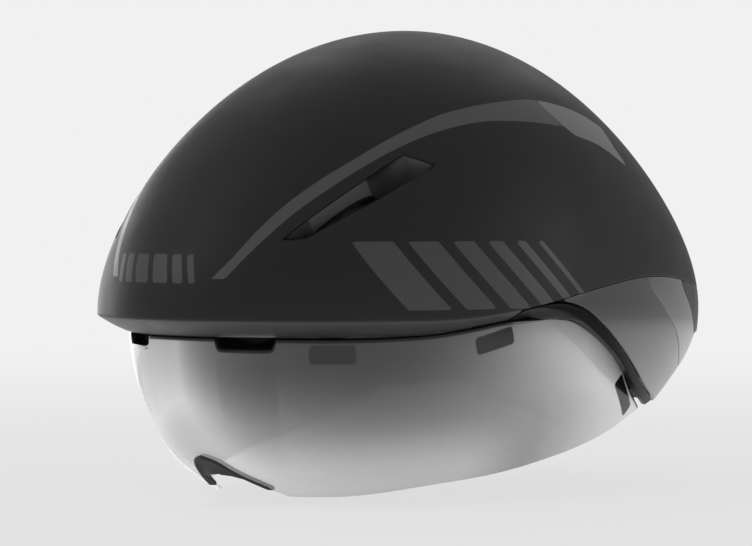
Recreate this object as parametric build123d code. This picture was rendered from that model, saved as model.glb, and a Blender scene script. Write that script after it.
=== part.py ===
from build123d import *
import math
import os

# Helmet shell, outside sizes
half_width = 102.0
front_reach = 134.0
rear_reach = 154.0
crown_height = 115.0
crown_setback = 7.4
width_tuck_depth = 76.0
length_tuck_depth = 116.0
lowest_section = 50.0
# How far the shell is fuller or flatter than an ellipse, as shares of its size
side_fullness_share = 0.315
front_fullness_share = 0.117
rear_fullness_share = -0.041
crown_ease_share = 0.364
upper_angle_shares = (0.0, 0.11, 0.22, 0.34, 0.46, 0.58, 0.7, 0.8, 0.89, 0.96)
lower_depth_shares = (1.0, 0.75, 0.5, 0.25)
round_share = 0.5523

# Walls, gaps and the reach of cuts past the surface
skin_wall = 1.6
skin_gap = 0.3
fit_gap = 0.3
seam_gap = 0.4
trim_seam = 0.9
overrun = 30.0
far_front = -front_reach - overrun
far_rear = rear_reach + overrun
far_top = crown_height + overrun
far_low = -crown_height - overrun
far_side = half_width + overrun

# Belt crease, side view
belt_rise = 15.0
belt_fall = 9.0
belt_rise_from = -70.0
belt_rise_to = 52.0
belt_fall_to = 152.0
belt_points = 14

# Brow bevel under the crease
bevel_inset = 12.5
bevel_drop = 7.0
bevel_wall = 2.2
bevel_lip = 3.4
bevel_end = -31.0
bevel_rise_from = -75.0
bevel_rise_to = -8.0
bevel_stations = 19

# Ear cover, side view: lengths that the tables of shares follow
ear_length = 76.0
ear_drop = 38.0
trim_depth = 12.0
trim_lower_shares = (
    (-0.394, 0.078), (-0.275, 0.105), (-0.134, 0.068), (0.025, -0.053), (0.204, -0.253),
    (0.384, -0.466), (0.56, -0.69), (0.74, -0.885), (0.9, -1.01),
)
trim_upper_shares = (
    (-0.394, 0.092), (-0.27, 0.132), (-0.118, 0.147), (0.03, 0.079), (0.192, -0.1),
    (0.362, -0.326), (0.545, -0.56), (0.75, -0.79), (0.96, -0.96),
)
trim_depth_shares = (1.0, 0.94, 0.82, 0.68, 0.5, 0.42, 0.35, 0.28, 0.2)
trim_turn_shares = (-0.36, -0.38, -0.15, 0.17, 0.16, 0.16, 0.13, 0.1, 0.07)
foam_line_shares = (
    (-0.408, 0.105), (-0.263, 0.15), (-0.118, 0.163), (0.026, 0.095), (0.197, -0.075),
    (0.382, -0.265), (0.58, -0.52), (0.75, -0.745), (0.99, -0.955),
)
foam_inner_shares = ((-0.59, -0.095), (-0.38, -0.035), (-0.21, -0.005), (-0.06, 0.02), (0.1, 0.04))
tail_line_shares = (
    (0.99, -0.985), (1.105, -0.73), (1.24, -0.53), (1.42, -0.27), (1.65, -0.29), (2.2, -0.32),
)
panel_seam_shares = ((0.58, 0.6), (0.63, 0.35), (0.8, 0.07), (1.0, -0.23), (1.2, -0.7))
tail_seam_shares = ((1.05, 0.6), (1.11, 0.26), (1.25, 0.0), (1.43, -0.35), (1.6, -0.6))

# Head space
head_half_width = 83.0
head_front = 102.0
head_rear = 104.0
head_height = 92.0
head_centre = 4.0
head_skirt = 60.0
skirt_steps = 4

# Side vent: the outline lies in a frame square to the shell, along the slot and up
vent_place_share = (0.61, -0.63, 0.39)
vent_along = (0.40, 0.816, 0.415)
vent_out = (0.72, -0.57, 0.41)
vent_length = 68.0
vent_height = 10.5
vent_depth = 15.0
vent_rim = 1.2
vent_floor = 9.0
vent_floor_tilt = -5.0
vent_sink = 0.6
vent_steps = 9
vent_upper_shares = ((-0.47, 0.04), (-0.34, 0.2), (-0.13, 0.4), (0.09, 0.62), (0.27, 0.82), (0.4, 0.96))
vent_lower_shares = (
    (0.53, 0.04), (0.42, -0.05), (0.28, -0.14), (0.1, -0.27), (-0.06, -0.3), (-0.22, -0.33),
    (-0.36, -0.32), (-0.47, 0.04),
)
hole_upper_shares = ((-0.37, -0.13), (-0.2, 0.1), (-0.02, 0.26), (0.13, 0.02))
hole_lower_shares = ((0.11, -0.05), (0.02, -0.14), (-0.14, -0.2), (-0.28, -0.22), (-0.37, -0.13))

# Liner blocks, air channels in them and the exhaust in the tail
liner_seam = 0.2
liner_split = 24.0
channel_width = 14.0
channel_depth = 9.0
channel_offset = 30.0
exhaust_width = 32.0
exhaust_height = 9.0
exhaust_drop = 3.5
exhaust_depth = 10.0
exhaust_rim = 1.4
exhaust_corner = 2.0
vane_count = 3
vane_wall = 1.6

# Shield
lens_wall = 2.0
lens_gap = 0.6
lens_lead = 15.0
lens_depth = 70.0
lens_side_inset = 11.5
lens_front_inset = 13.5
lens_rear_inset = 14.0
lens_half_width = half_width - lens_side_inset
lens_front = front_reach - lens_front_inset
lens_rear = rear_reach - lens_rear_inset
# Depth, half width, front, rear and roundness of each level of the shield
lens_level_shares = (
    (-0.08, 1.0, 1.0, 1.0, 0.5523), (0.1, 1.0, 1.0, 1.0, 0.5523), (0.25, 0.989, 0.992, 1.0, 0.545),
    (0.4, 0.975, 0.977, 1.0, 0.53), (0.56, 0.953, 0.95, 1.0, 0.5), (0.7, 0.915, 0.92, 0.98, 0.475),
    (0.83, 0.865, 0.86, 0.96, 0.46), (0.94, 0.80, 0.77, 0.93, 0.46), (1.05, 0.72, 0.66, 0.88, 0.46),
)
lens_edge_shares = (
    (-0.59, -0.123), (-0.38, -0.058), (-0.21, -0.032), (-0.08, -0.01), (0.085, -0.035), (0.265, -0.172),
    (0.425, -0.342), (0.585, -0.56), (0.735, -0.86), (0.815, -0.975), (0.87, -1.045),
)
lens_low_shares = (
    (0.87, -1.045), (0.8, -1.09), (0.6, -1.235), (0.3, -1.4), (0.026, -1.516), (-0.263, -1.63),
    (-0.58, -1.73), (-0.87, -1.842), (-1.2, -1.845),
)
nose_half_width = 19.0
nose_height = 15.5
nose_band = 2.4
nose_proud = 1.0
nose_shelf = 8.0
nose_arch_shares = (
    (-1.1, -0.06), (-0.6, 0.52), (-0.26, 0.9), (0.0, 1.0), (0.26, 0.9), (0.6, 0.52), (1.1, -0.06),
)
notch_width = 22.0
notch_depth = 4.2
notch_offset = 30.0
notch_corner = 2.0

# Magnet pads on the shield, docks on the helmet
pad_length = 18.0
pad_height = 7.0
pad_inner = 5.0
pad_corner = 1.5
dock_length = 12.0
dock_wall = 4.6
dock_rise = 12.0
dock_gap = 0.3
magnet_radius = 2.6
magnet_wall = 1.5
magnet_gap = 0.1
# Places of the brow, temple and ear pads, with the way that each faces and its slant
pad_place_shares = ((0.63, -0.765, -0.19), (0.965, -0.275, -0.125), (0.9, 0.354, -0.479))
pad_faces = ((0.737, -0.676), (0.977, -0.213), (1.0, 0.0))
pad_slants = (0.0, 14.0, -50.0)

# Comfort pads
pad_wall = 6.0
pad_gap = 0.3
brow_pad_width = 124.0
brow_pad_low = -2.0
brow_pad_high = 22.0
crown_pad_in = 6.0
crown_pad_out = 20.0
crown_pad_front = -14.0
crown_pad_rear = 60.0
side_pad_front = -18.0
side_pad_rear = 3.0
side_pad_low = 5.0
side_pad_high = 22.0

# Webbing
web_wall = 1.6
web_width = 15.0
web_front = -30.5
web_level = 69.0
web_bar = 14.0
strap_low = 5.5
rear_leg_foot = (53.0, 7.5)
rear_leg_head = (-21.0, 53.0)
slider_size = (21.0, 20.0)
slider_wall = 2.6
slider_shift = 2.0
anchor_shift = 2.0
anchor_lift = 5.0
anchor_size = 18.0

# Buckle on the webbing
buckle_length = 23.0
buckle_width = 24.0
buckle_height = 7.0
buckle_wall = 1.6
buckle_gap = 0.25
prong_length = 13.0
prong_width = 4.0

# Fit system, in a frame tilted back from the vertical
fit_tilt = 24.0
fit_centre_back = 27.0
fit_centre_height = -3.1
left_belt_radius = 74.0
belt_wall = 1.0
belt_gap = 0.3
belt_height_side = 10.0
belt_height_rack = 15.0
belt_side_angle = 104.0
belt_end_angle = 15.0
rack_angle = 11.5
rack_blend_angle = 24.0
pinion_teeth = 10
pinion_pitch_radius = 3.8
tooth_height = 1.3
tooth_clearance = 0.35
tooth_share = 0.3
housing_angle = 25.0
housing_wall = 2.0
housing_half_height = 11.0
hub_radius = 3.0
hub_gap = 0.2
dial_radius = 15.0
dial_wall = 8.5
dial_grips = 16
dial_grip_radius = 2.2
dial_gap = 0.5
screw_radius = 1.5
screw_head_radius = 3.2
screw_head_wall = 1.8
screw_length = 9.0
stem_width = 16.4
stem_wall = 2.4
stem_front = 100.7
stem_foot = -27.0
stem_top = 12.0
rail_width = 24.0
rail_wall = 1.4
rail_gap = 0.3
rail_window = 12.0
rail_foot = -8.0
rail_seat = 0.6
cradle_travel = 6.0
guide_from = 92.0
guide_to = 103.0
guide_wall = 1.4
guide_gap = 0.8
cradle_pad_wall = 6.0
cradle_pad_from = 5.0
cradle_pad_to = 21.0

parts = {}


def smooth_step(value, start, end):
    share = min(max((value - start) / (end - start), 0.0), 1.0)
    return share * share * (3.0 - 2.0 * share)


def belt_height(along):
    rise = belt_rise * smooth_step(along, belt_rise_from, belt_rise_to)
    return rise - belt_fall * smooth_step(along, belt_rise_to, belt_fall_to)


def bevel_height(along):
    return bevel_drop * (smooth_step(along, bevel_rise_from, bevel_rise_to) - 1.0)


def upper_section(angle, inset):
    lean = math.sin(angle) ** 2
    reach = math.cos(angle)
    height = (crown_height - inset) * math.sin(angle) * (1.0 - crown_ease_share * reach ** 2)
    return (
        height,
        (half_width - inset) * reach * (1.0 + side_fullness_share * lean),
        (front_reach - inset) * reach * (1.0 + front_fullness_share * lean),
        (rear_reach - inset) * reach * (1.0 + rear_fullness_share * lean),
        crown_setback * lean,
    )


def lower_section(depth, inset):
    narrow = math.sqrt(1.0 - (depth / width_tuck_depth) ** 2)
    shorten = math.sqrt(1.0 - (depth / length_tuck_depth) ** 2)
    return (
        -depth,
        half_width * narrow - inset,
        front_reach * shorten - inset,
        rear_reach * shorten - inset,
        0.0,
    )


def section_at(height, inset):
    if height <= 0.0:
        return lower_section(-height, inset)
    low = 0.0
    high = math.pi / 2.0
    for _ in range(40):
        middle = (low + high) / 2.0
        if upper_section(middle, inset)[0] < height:
            low = middle
        else:
            high = middle
    return upper_section(low, inset)


def shell_point(along, height):
    _, wide, front, rear, centre = section_at(height, 0.0)
    length = rear if along > centre else front
    share = max(min((along - centre) / length, 1.0), -1.0)
    return Vector(wide * math.sqrt(1.0 - share ** 2), along, height)


def inward_at(point):
    _, wide, front, rear, centre = section_at(point.Z, 0.0)
    length = rear if point.Y > centre else front
    return Vector(-point.X / wide ** 2, -(point.Y - centre) / length ** 2, 0).normalized()


def plan_wire(height, wide, front, rear, centre, front_share=round_share):
    nose = front_share * wide
    side = front_share * front
    bow = round_share * wide
    hip = round_share * rear
    edges = [
        Bezier((0, centre - front), (nose, centre - front), (wide, centre - side), (wide, centre)),
        Bezier((wide, centre), (wide, centre + hip), (bow, centre + rear), (0, centre + rear)),
        Bezier((0, centre + rear), (-bow, centre + rear), (-wide, centre + hip), (-wide, centre)),
        Bezier((-wide, centre), (-wide, centre - side), (-nose, centre - front), (0, centre - front)),
    ]
    return Pos(0, 0, height) * Wire(edges)


def shell_body(inset):
    wires = [plan_wire(*lower_section(lowest_section * share, inset)) for share in lower_depth_shares]
    wires += [plan_wire(*upper_section(share * math.pi / 2.0, inset)) for share in upper_angle_shares]
    top = Vertex(0, crown_setback, crown_height - inset)
    return Part() + Solid.make_loft(wires + [top])


def head_body(inset):
    wide = head_half_width - inset
    front = head_front - inset
    rear = head_rear - inset
    heights = [-head_skirt * (1.0 - step / skirt_steps) for step in range(skirt_steps)]
    wires = [plan_wire(height, wide, front, rear, head_centre) for height in heights]
    for share in upper_angle_shares:
        reach = math.cos(share * math.pi / 2.0)
        height = (head_height - inset) * math.sin(share * math.pi / 2.0)
        wires.append(plan_wire(height, wide * reach, front * reach, rear * reach, head_centre))
    top = Vertex(0, head_centre, head_height - inset)
    return Part() + Solid.make_loft(wires + [top])


def lens_body(inset):
    wires = []
    for down, wide, front, rear, nose in lens_level_shares:
        wires.append(plan_wire(
            -down * lens_depth, lens_half_width * wide - inset, lens_front * front - inset,
            lens_rear * rear - inset, 0, nose,
        ))
    return Part() + Solid.make_loft(wires[::-1])


def ear_points(shares, lift=0.0, back=0.0):
    return [(along * ear_length + back, height * ear_drop + lift) for along, height in shares]


def closed_face(line, corners):
    return make_face(Spline(*line) + Polyline(line[-1], *corners, line[0]))


def above(line):
    corners = [(far_rear, line[-1][1]), (far_rear, far_top), (far_front, far_top), (far_front, line[0][1])]
    return closed_face(line, corners)


def behind(line):
    corners = [(line[-1][0], far_low), (far_rear, far_low), (far_rear, far_top), (line[0][0], far_top)]
    return closed_face(line, corners)


def belt_face(lift):
    step = (rear_reach - belt_rise_from) / belt_points
    stations = [belt_rise_from + step * index for index in range(belt_points + 1)]
    return above([(along, belt_height(along) + lift) for along in stations])


def side_prism(face):
    return extrude(Plane.YZ * face, amount=far_side, both=True)


def left_prism(face):
    return extrude(Plane.YZ * face, amount=far_side)


def box(low, high):
    size = [b - a for a, b in zip(low, high)]
    middle = [(a + b) / 2.0 for a, b in zip(low, high)]
    return Pos(*middle) * Box(*size)


def mirrored(shape):
    return mirror(shape, about=Plane.YZ)


def with_mirror(shape):
    return shape + mirrored(shape)


def keep(name, shape):
    solids = shape.solids()
    parts[name] = solids[0] if len(solids) == 1 else Compound(children=solids)


def keep_pair(name, shape):
    keep("left_" + name, shape)
    keep("right_" + name, mirrored(shape))


# Bodies that are used more than once are made once
made = {}


def body_at(kind, inset):
    if (kind, inset) not in made:
        made[kind, inset] = kind(inset)
    return made[kind, inset]


def shell_at(inset):
    return body_at(shell_body, inset)


def head_layer(outer, inner):
    return body_at(head_body, outer) - body_at(head_body, inner)


# Side vent
vent_centre = (
    vent_place_share[0] * half_width, vent_place_share[1] * front_reach, vent_place_share[2] * crown_height
)
vent_plane = Plane(vent_centre, x_dir=vent_along, z_dir=vent_out)


def vent_edge(shares):
    curve = Spline(*[(along * vent_length, height * vent_height) for along, height in shares])
    return [curve @ (index / vent_steps) for index in range(vent_steps + 1)]


def vent_face(upper, lower):
    return make_face(Polyline(*vent_edge(upper), *vent_edge(lower)))


def vent_cut(grow):
    face = vent_face(vent_upper_shares, vent_lower_shares)
    grown = offset(face, amount=grow, kind=Kind.INTERSECTION) if grow else face
    return extrude(vent_plane * grown, amount=overrun, both=True)


def hole_cut():
    face = vent_face(hole_upper_shares, hole_lower_shares)
    return extrude(vent_plane * face, amount=2.0 * overrun, both=True)


def vent_recess():
    place = vent_plane * Rot(0, vent_floor_tilt, 0) * Pos(0, 0, overrun - vent_floor)
    return vent_cut(-vent_rim) & (place * Box(2.0 * vent_length, vent_length, 2.0 * overrun))


def exhaust_cut(grow):
    size = (exhaust_width + 2.0 * grow, exhaust_height + 2.0 * grow)
    place = Plane.XZ * Pos(exhaust_width / 2.0 + channel_width, -exhaust_drop, 0)
    return extrude(place * RectangleRounded(*size, exhaust_corner), amount=-far_rear)


# Shell
def build_outer_shell():
    skin = shell_at(0.0) - shell_at(skin_wall)
    cut = vent_cut(fit_gap)
    keep("outer_shell", (skin & side_prism(belt_face(seam_gap / 2.0))) - with_mirror(cut))


def cover_face():
    under_belt = Rectangle(2.0 * far_rear, 2.0 * far_top) - belt_face(-seam_gap / 2.0)
    cover = under_belt & behind(ear_points(trim_upper_shares, trim_seam))
    return cover & above(ear_points(tail_line_shares))


def build_panels():
    skin = shell_at(0.0) - shell_at(skin_wall)
    cover = cover_face()
    half = seam_gap / 2.0
    front = cover - behind(ear_points(panel_seam_shares, 0.0, -half))
    middle = (cover & behind(ear_points(panel_seam_shares, 0.0, half)))
    middle = middle - behind(ear_points(tail_seam_shares, 0.0, -half))
    tail = cover & behind(ear_points(tail_seam_shares, 0.0, half))
    keep_pair("ear_panel", skin & left_prism(front))
    keep_pair("rear_panel", skin & left_prism(middle))
    keep("tail_shell", (skin & side_prism(tail)) - with_mirror(exhaust_cut(fit_gap)))


def plan_point(angle, height, inset):
    _, wide, front, _, centre = section_at(height, 0.0)
    return Vector((wide - inset) * math.sin(angle), centre - (front - inset) * math.cos(angle), height)


def bevel_quad(angle):
    along = -front_reach * math.cos(angle)
    crease = plan_point(angle, belt_height(along) - seam_gap / 2.0, 0.0)
    foot_along = -(front_reach - bevel_inset) * math.cos(angle)
    foot = plan_point(angle, bevel_height(foot_along), bevel_inset)
    flat = Vector(foot.X - crease.X, foot.Y - crease.Y, 0).normalized()
    return Wire.make_polygon([crease, foot, foot + Vector(0, 0, bevel_wall), crease + flat * bevel_lip])


def build_brow_band():
    widest = math.acos(-bevel_end / front_reach)
    step = 2.0 * widest / (bevel_stations - 1)
    quads = [bevel_quad(-widest + step * index) for index in range(bevel_stations)]
    keep("brow_band", Solid.make_loft(quads))


def trim_quad(lower, upper, depth_share, turn_share):
    low = shell_point(*lower)
    high = shell_point(*upper)
    inward = inward_at(low)
    rise = (high - low).normalized()
    depth = depth_share * trim_depth
    turn = turn_share * trim_depth
    return Wire.make_polygon([high + inward * depth, low + inward * depth + rise * turn, low, high])


def build_ear_trims():
    stations = zip(
        ear_points(trim_lower_shares), ear_points(trim_upper_shares), trim_depth_shares, trim_turn_shares
    )
    keep_pair("ear_trim", Solid.make_loft([trim_quad(*station) for station in stations]))


def build_vents():
    block = (vent_cut(0.0) & shell_at(vent_sink)) - shell_at(vent_depth)
    keep_pair("vent_insert", block - vent_recess() - hole_cut())


def build_exhausts():
    block = (exhaust_cut(0.0) & shell_at(0.0)) - shell_at(exhaust_depth)
    inner_width = exhaust_width - 2.0 * exhaust_rim
    cell = (inner_width - vane_count * vane_wall) / (vane_count + 1)
    pitch = cell + vane_wall
    first = channel_width + exhaust_rim + cell / 2.0
    for index in range(vane_count + 1):
        place = Plane.XZ * Pos(first + pitch * index, -exhaust_drop, 0)
        face = RectangleRounded(cell, exhaust_height - 2.0 * exhaust_rim, exhaust_rim)
        block = block - extrude(place * face, amount=-far_rear)
    keep_pair("exhaust_grille", block)


# Shield
def lens_outline():
    lead = (bevel_rise_from, bevel_rise_from + lens_lead)
    edge = [(along, bevel_height(along) - lens_gap) for along in lead]
    edge += ear_points(lens_edge_shares)
    low = ear_points(lens_low_shares)
    corners = [(far_front, low[-1][1]), (far_front, edge[0][1]), edge[0]]
    return make_face(Spline(*edge) + Spline(*low) + Polyline(low[-1], *corners))


def nose_cut(lower):
    base = -lens_depth - lower
    line = [(along * nose_half_width, base + rise * nose_height) for along, rise in nose_arch_shares]
    corners = [(line[-1][0], far_low), (line[0][0], far_low)]
    return extrude(Plane.XZ * closed_face(line, corners), amount=-far_front)


def notch_cut():
    place = Plane.XZ * Pos(notch_offset, -bevel_drop - lens_gap, 0)
    notch = RectangleRounded(notch_width, 2.0 * notch_depth, notch_corner)
    return extrude(place * notch, amount=-far_front)


def build_shield():
    wall = body_at(lens_body, 0.0) - body_at(lens_body, lens_wall)
    wall = wall & side_prism(lens_outline())
    keep("shield_lens", wall - nose_cut(0.0) - with_mirror(notch_cut()))
    band = body_at(lens_body, -nose_proud) - body_at(lens_body, nose_shelf)
    keep("nose_trim", band & (nose_cut(magnet_gap) - nose_cut(nose_band)))


def pad_plane(index):
    across, along, up = pad_place_shares[index]
    length = lens_rear if along > 0 else lens_front
    ahead, aside = pad_faces[index]
    place = (across * lens_half_width, along * length, up * lens_depth)
    flat = Plane(place, x_dir=(-aside, ahead, 0), z_dir=(ahead, aside, 0))
    return flat * Rot(0, 0, pad_slants[index])


def magnet_cut(index, base, grow):
    place = pad_plane(index) * Pos(0, 0, base)
    return place * Cylinder(magnet_radius + grow, magnet_wall + 2.0 * grow)


def dock_block(index, grow):
    low = -pad_height / 2.0 - grow
    high = dock_rise + grow
    deep = dock_wall + 2.0 * grow
    place = pad_plane(index) * Pos(0, (low + high) / 2.0, -pad_inner - dock_gap - dock_wall / 2.0)
    return place * Box(dock_length + 2.0 * grow, high - low, deep)


def build_magnet_mounts():
    inner = body_at(lens_body, lens_wall + magnet_gap)
    shield_magnets = Part()
    helmet_magnets = Part()
    for index, name in enumerate(("brow", "temple", "ear")):
        reach = pad_inner + pad_height
        face = RectangleRounded(pad_length, pad_height, pad_corner)
        face = pad_plane(index) * Pos(0, 0, -pad_inner) * face
        pad = extrude(face, amount=reach) & inner
        at = -pad_inner + magnet_wall / 2.0
        keep_pair(name + "_shield_pad", pad - magnet_cut(index, at, magnet_gap))
        shield_magnets = shield_magnets + with_mirror(magnet_cut(index, at, 0.0))
        at = -pad_inner - dock_gap - magnet_wall / 2.0
        dock = dock_block(index, 0.0) - magnet_cut(index, at, magnet_gap)
        keep_pair(name + "_dock", dock)
        helmet_magnets = helmet_magnets + with_mirror(magnet_cut(index, at, 0.0))
    keep("shield_magnets", shield_magnets)
    keep("helmet_magnets", helmet_magnets)


# Liner
def channel_cut():
    near = channel_offset - channel_width / 2.0
    far = channel_offset + channel_width / 2.0
    front = box((near, far_front, -2.0 * bevel_drop), (far, 0, far_top))
    rear = box((near, -channel_width, -exhaust_drop - exhaust_height / 2.0), (far, far_rear, far_top))
    return body_at(head_body, -channel_depth) & (front + rear)


def rail_block(grow):
    front = stem_front - rail_gap - rail_wall - grow
    rear = head_centre + head_rear + rail_seat + grow
    top = stem_top + cradle_travel + rail_wall + rail_gap + grow
    half = rail_width / 2.0 + grow
    return box((-half, front, rail_foot - grow), (half, rear, top))


def liner_front_line():
    lead = [(along, belt_height(along) + fit_gap) for along in (belt_rise_from, belt_rise_from + lens_lead)]
    return lead + ear_points(foam_line_shares)


def liner_inner_line():
    steps = [bevel_rise_from, bevel_rise_from + lens_lead]
    lead = [(along, bevel_height(along) + fit_gap) for along in steps]
    return lead + ear_points(foam_inner_shares)


def build_liner():
    outer = above(liner_front_line()) & above(ear_points(tail_line_shares, skin_gap))
    foam = shell_at(skin_wall + skin_gap) & side_prism(outer)
    inner = above(liner_inner_line()) & (Pos(far_front / 2.0, 0) * Rectangle(-far_front, 2.0 * far_top))
    foam = foam + (shell_at(bevel_inset + fit_gap) & side_prism(inner))
    foam = foam - body_at(head_body, 0.0)
    pocket = vent_cut(fit_gap) - shell_at(vent_depth + fit_gap)
    cuts = [pocket, hole_cut(), exhaust_cut(fit_gap), channel_cut()]
    cuts += [dock_block(index, fit_gap) for index in range(len(pad_faces))]
    for cut in cuts:
        foam = foam - with_mirror(cut)
    foam = foam - rail_block(fit_gap)
    seam = liner_seam / 2.0
    front = box((seam, far_front, far_low), (far_side, liner_split - seam, far_top))
    rear = box((seam, liner_split + seam, far_low), (far_side, far_rear, far_top))
    keep_pair("front_liner", foam & front)
    keep_pair("rear_liner", foam & rear)


def build_comfort_pads():
    layer = head_layer(pad_gap, pad_gap + pad_wall)
    half = brow_pad_width / 2.0
    keep("brow_pad", layer & box((-half, far_front, brow_pad_low), (half, 0, brow_pad_high)))
    crown = box((crown_pad_in, crown_pad_front, 0), (crown_pad_out, crown_pad_rear, far_top))
    keep("crown_pads", with_mirror(layer & crown))
    side = box((0, side_pad_front, side_pad_low), (far_side, side_pad_rear, side_pad_high))
    keep_pair("side_pad", layer & side)


# Webbing and buckle
def strap_layer():
    return head_layer(pad_gap, pad_gap + web_wall)


def leg_outline(foot, top, width):
    run = Vector(top[0] - foot[0], top[1] - foot[1]).normalized()
    aside = Vector(-run.Y, run.X) * (width / 2.0)
    start = Vector(*foot)
    end = Vector(*top)
    return make_face(Polyline(start + aside, end + aside, end - aside, start - aside, start + aside))


def build_webbing():
    front = web_front - web_width / 2.0
    rear = web_front + web_width / 2.0
    leg = strap_layer() & box((0, front, strap_low), (far_side, rear, web_level + web_wall / 2.0))
    bridge = box((web_bar, front, web_level - web_wall / 2.0), (far_side, rear, web_level + web_wall / 2.0))
    leg = leg + (bridge & body_at(head_body, pad_gap))
    back = strap_layer() & left_prism(leg_outline(rear_leg_foot, rear_leg_head, web_width))
    back = back & box((0, rear + fit_gap, far_low), (far_side, far_rear, far_top))
    keep_pair("strap", leg + back)
    cover = head_layer(pad_gap + web_wall + fit_gap, pad_gap + web_wall + fit_gap + slider_wall)
    wide, tall = slider_size
    centre = (web_front + slider_shift, rear_leg_head[1])
    low = (0, centre[0] - wide / 2.0, centre[1] - tall / 2.0)
    keep_pair("strap_slider", cover & box(low, (far_side, centre[0] + wide / 2.0, centre[1] + tall / 2.0)))
    half = anchor_size / 2.0
    plates = Part()
    places = (
        (web_front, strap_low + half),
        (rear_leg_foot[0] - anchor_shift, rear_leg_foot[1] + anchor_lift),
    )
    for along, up in places:
        plate = cover & box((0, along - half, up - half / 2.0), (far_side, along + half, up + half / 2.0))
        plates = plates + with_mirror(plate)
    keep("strap_anchors", plates)


def build_buckle():
    top = web_level - web_wall / 2.0 - fit_gap
    low = top - buckle_height
    front = web_front - buckle_width / 2.0
    rear = web_front + buckle_width / 2.0
    half = buckle_gap / 2.0
    wall = buckle_wall
    socket = box((half, front, low), (buckle_length, rear, top))
    socket = socket - box((0, front + wall, low + wall), (prong_length + wall, rear - wall, top - wall))
    keep("buckle_socket", socket)
    plug = box((-buckle_length, front, low), (-half, rear, top))
    finger_low = low + wall + buckle_gap
    finger_top = top - wall - buckle_gap
    for index in range(3):
        reach = buckle_width - 2.0 * (wall + buckle_gap) - prong_width
        start = front + wall + buckle_gap + reach * index / 2.0
        plug = plug + box((-half, start, finger_low), (prong_length, start + prong_width, finger_top))
    keep("buckle_plug", plug)


# Fit system, built in its own tilted frame: x to the left, y to the back, z up
tilt_sine = math.sin(math.radians(fit_tilt))
tilt_cosine = math.cos(math.radians(fit_tilt))
fit_centre = (0, fit_centre_back, fit_centre_height)
fit_plane = Plane(fit_centre, x_dir=(1, 0, 0), z_dir=(0, tilt_sine, tilt_cosine))
right_belt_radius = left_belt_radius + belt_wall + belt_gap
belts_outer = right_belt_radius + belt_wall
tooth_pitch = 2.0 * math.pi * pinion_pitch_radius / pinion_teeth
tooth_width = tooth_share * tooth_pitch
pinion_tip = pinion_pitch_radius + tooth_height / 2.0
pinion_root = pinion_pitch_radius - tooth_height / 2.0 - tooth_clearance
rack_root = pinion_pitch_radius + tooth_height / 2.0 + tooth_clearance
rack_tip = pinion_pitch_radius - tooth_height / 2.0
cover_inner = belts_outer + belt_gap
cover_outer = cover_inner + housing_wall
dial_inner = cover_outer + dial_gap
dial_outer = dial_inner + dial_wall


def sector(inner, outer, start, end, low, high):
    rim = CenterArc((0, 0), outer, 90.0 - end, end - start)
    bore = CenterArc((0, 0), inner, 90.0 - end, end - start)
    face = make_face(rim + bore + Line(rim @ 0, bore @ 0) + Line(rim @ 1, bore @ 1))
    return extrude(Pos(0, 0, low) * face, amount=high - low)


def axle(radius, start, end):
    rod = Cylinder(radius, end - start, align=(Align.CENTER, Align.CENTER, Align.MIN))
    return Pos(0, start, 0) * Rot(-90, 0, 0) * rod


def belt(radius):
    outer = radius + belt_wall
    low = belt_height_side / 2.0
    band = sector(radius, outer, rack_blend_angle, belt_side_angle, -low, low)
    tall = belt_height_rack / 2.0
    band = band + sector(radius, outer, -belt_end_angle, rack_blend_angle, -tall, tall)
    slot_low = -pinion_tip - tooth_clearance
    band = band - sector(radius - belt_wall, outer + belt_wall, -rack_angle, rack_angle, slot_low, rack_root)
    middle = radius + belt_wall / 2.0
    tooth_middle = (rack_root + rack_tip + belt_wall) / 2.0
    pitch = math.degrees(tooth_pitch / middle)
    count = int(rack_angle / pitch)
    for index in range(-count, count):
        place = Rot(0, 0, -(index + 0.5) * pitch) * Pos(0, middle, tooth_middle)
        band = band + place * Box(tooth_width, belt_wall, rack_root - rack_tip + belt_wall)
    return band


def build_belts():
    keep("left_headband_belt", fit_plane * belt(left_belt_radius))
    flipped = Rot(0, 180, 0) * belt(right_belt_radius)
    keep("right_headband_belt", fit_plane * flipped)


def build_dial():
    end = cover_inner - belt_gap / 2.0
    pinion = axle(pinion_root, left_belt_radius, end)
    middle = (left_belt_radius + end) / 2.0
    height = (pinion_root + pinion_tip) / 2.0 - tooth_clearance
    tooth = Box(tooth_width, end - left_belt_radius, pinion_tip - pinion_root + 2.0 * tooth_clearance)
    for index in range(pinion_teeth):
        pinion = pinion + Rot(0, index * 360.0 / pinion_teeth, 0) * Pos(0, middle, height) * tooth
    pinion = pinion + axle(hub_radius, left_belt_radius, dial_inner + dial_wall / 2.0)
    pinion = pinion - axle(screw_radius + magnet_gap, cover_inner, dial_outer)
    keep("drive_pinion", fit_plane * pinion)
    knob = axle(dial_radius, dial_inner, dial_outer)
    knob = knob - axle(hub_radius + magnet_gap, 0, dial_inner + dial_wall / 2.0 + magnet_gap)
    knob = knob - axle(screw_radius + hub_gap, 0, far_rear)
    knob = knob - axle(screw_head_radius + hub_gap, dial_outer - screw_head_wall - hub_gap, far_rear)
    for index in range(dial_grips):
        turn = Rot(0, index * 360.0 / dial_grips, 0)
        place = turn * Pos(0, 0, dial_radius + dial_grip_radius / 2.0)
        knob = knob - place * axle(dial_grip_radius, 0, far_rear)
    keep("dial_knob", fit_plane * knob)
    head_face = dial_outer - hub_gap
    screw = axle(screw_head_radius, head_face - screw_head_wall, head_face)
    screw = screw + axle(screw_radius, head_face - screw_length, head_face - screw_head_wall)
    keep("dial_screw", fit_plane * screw)


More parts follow.
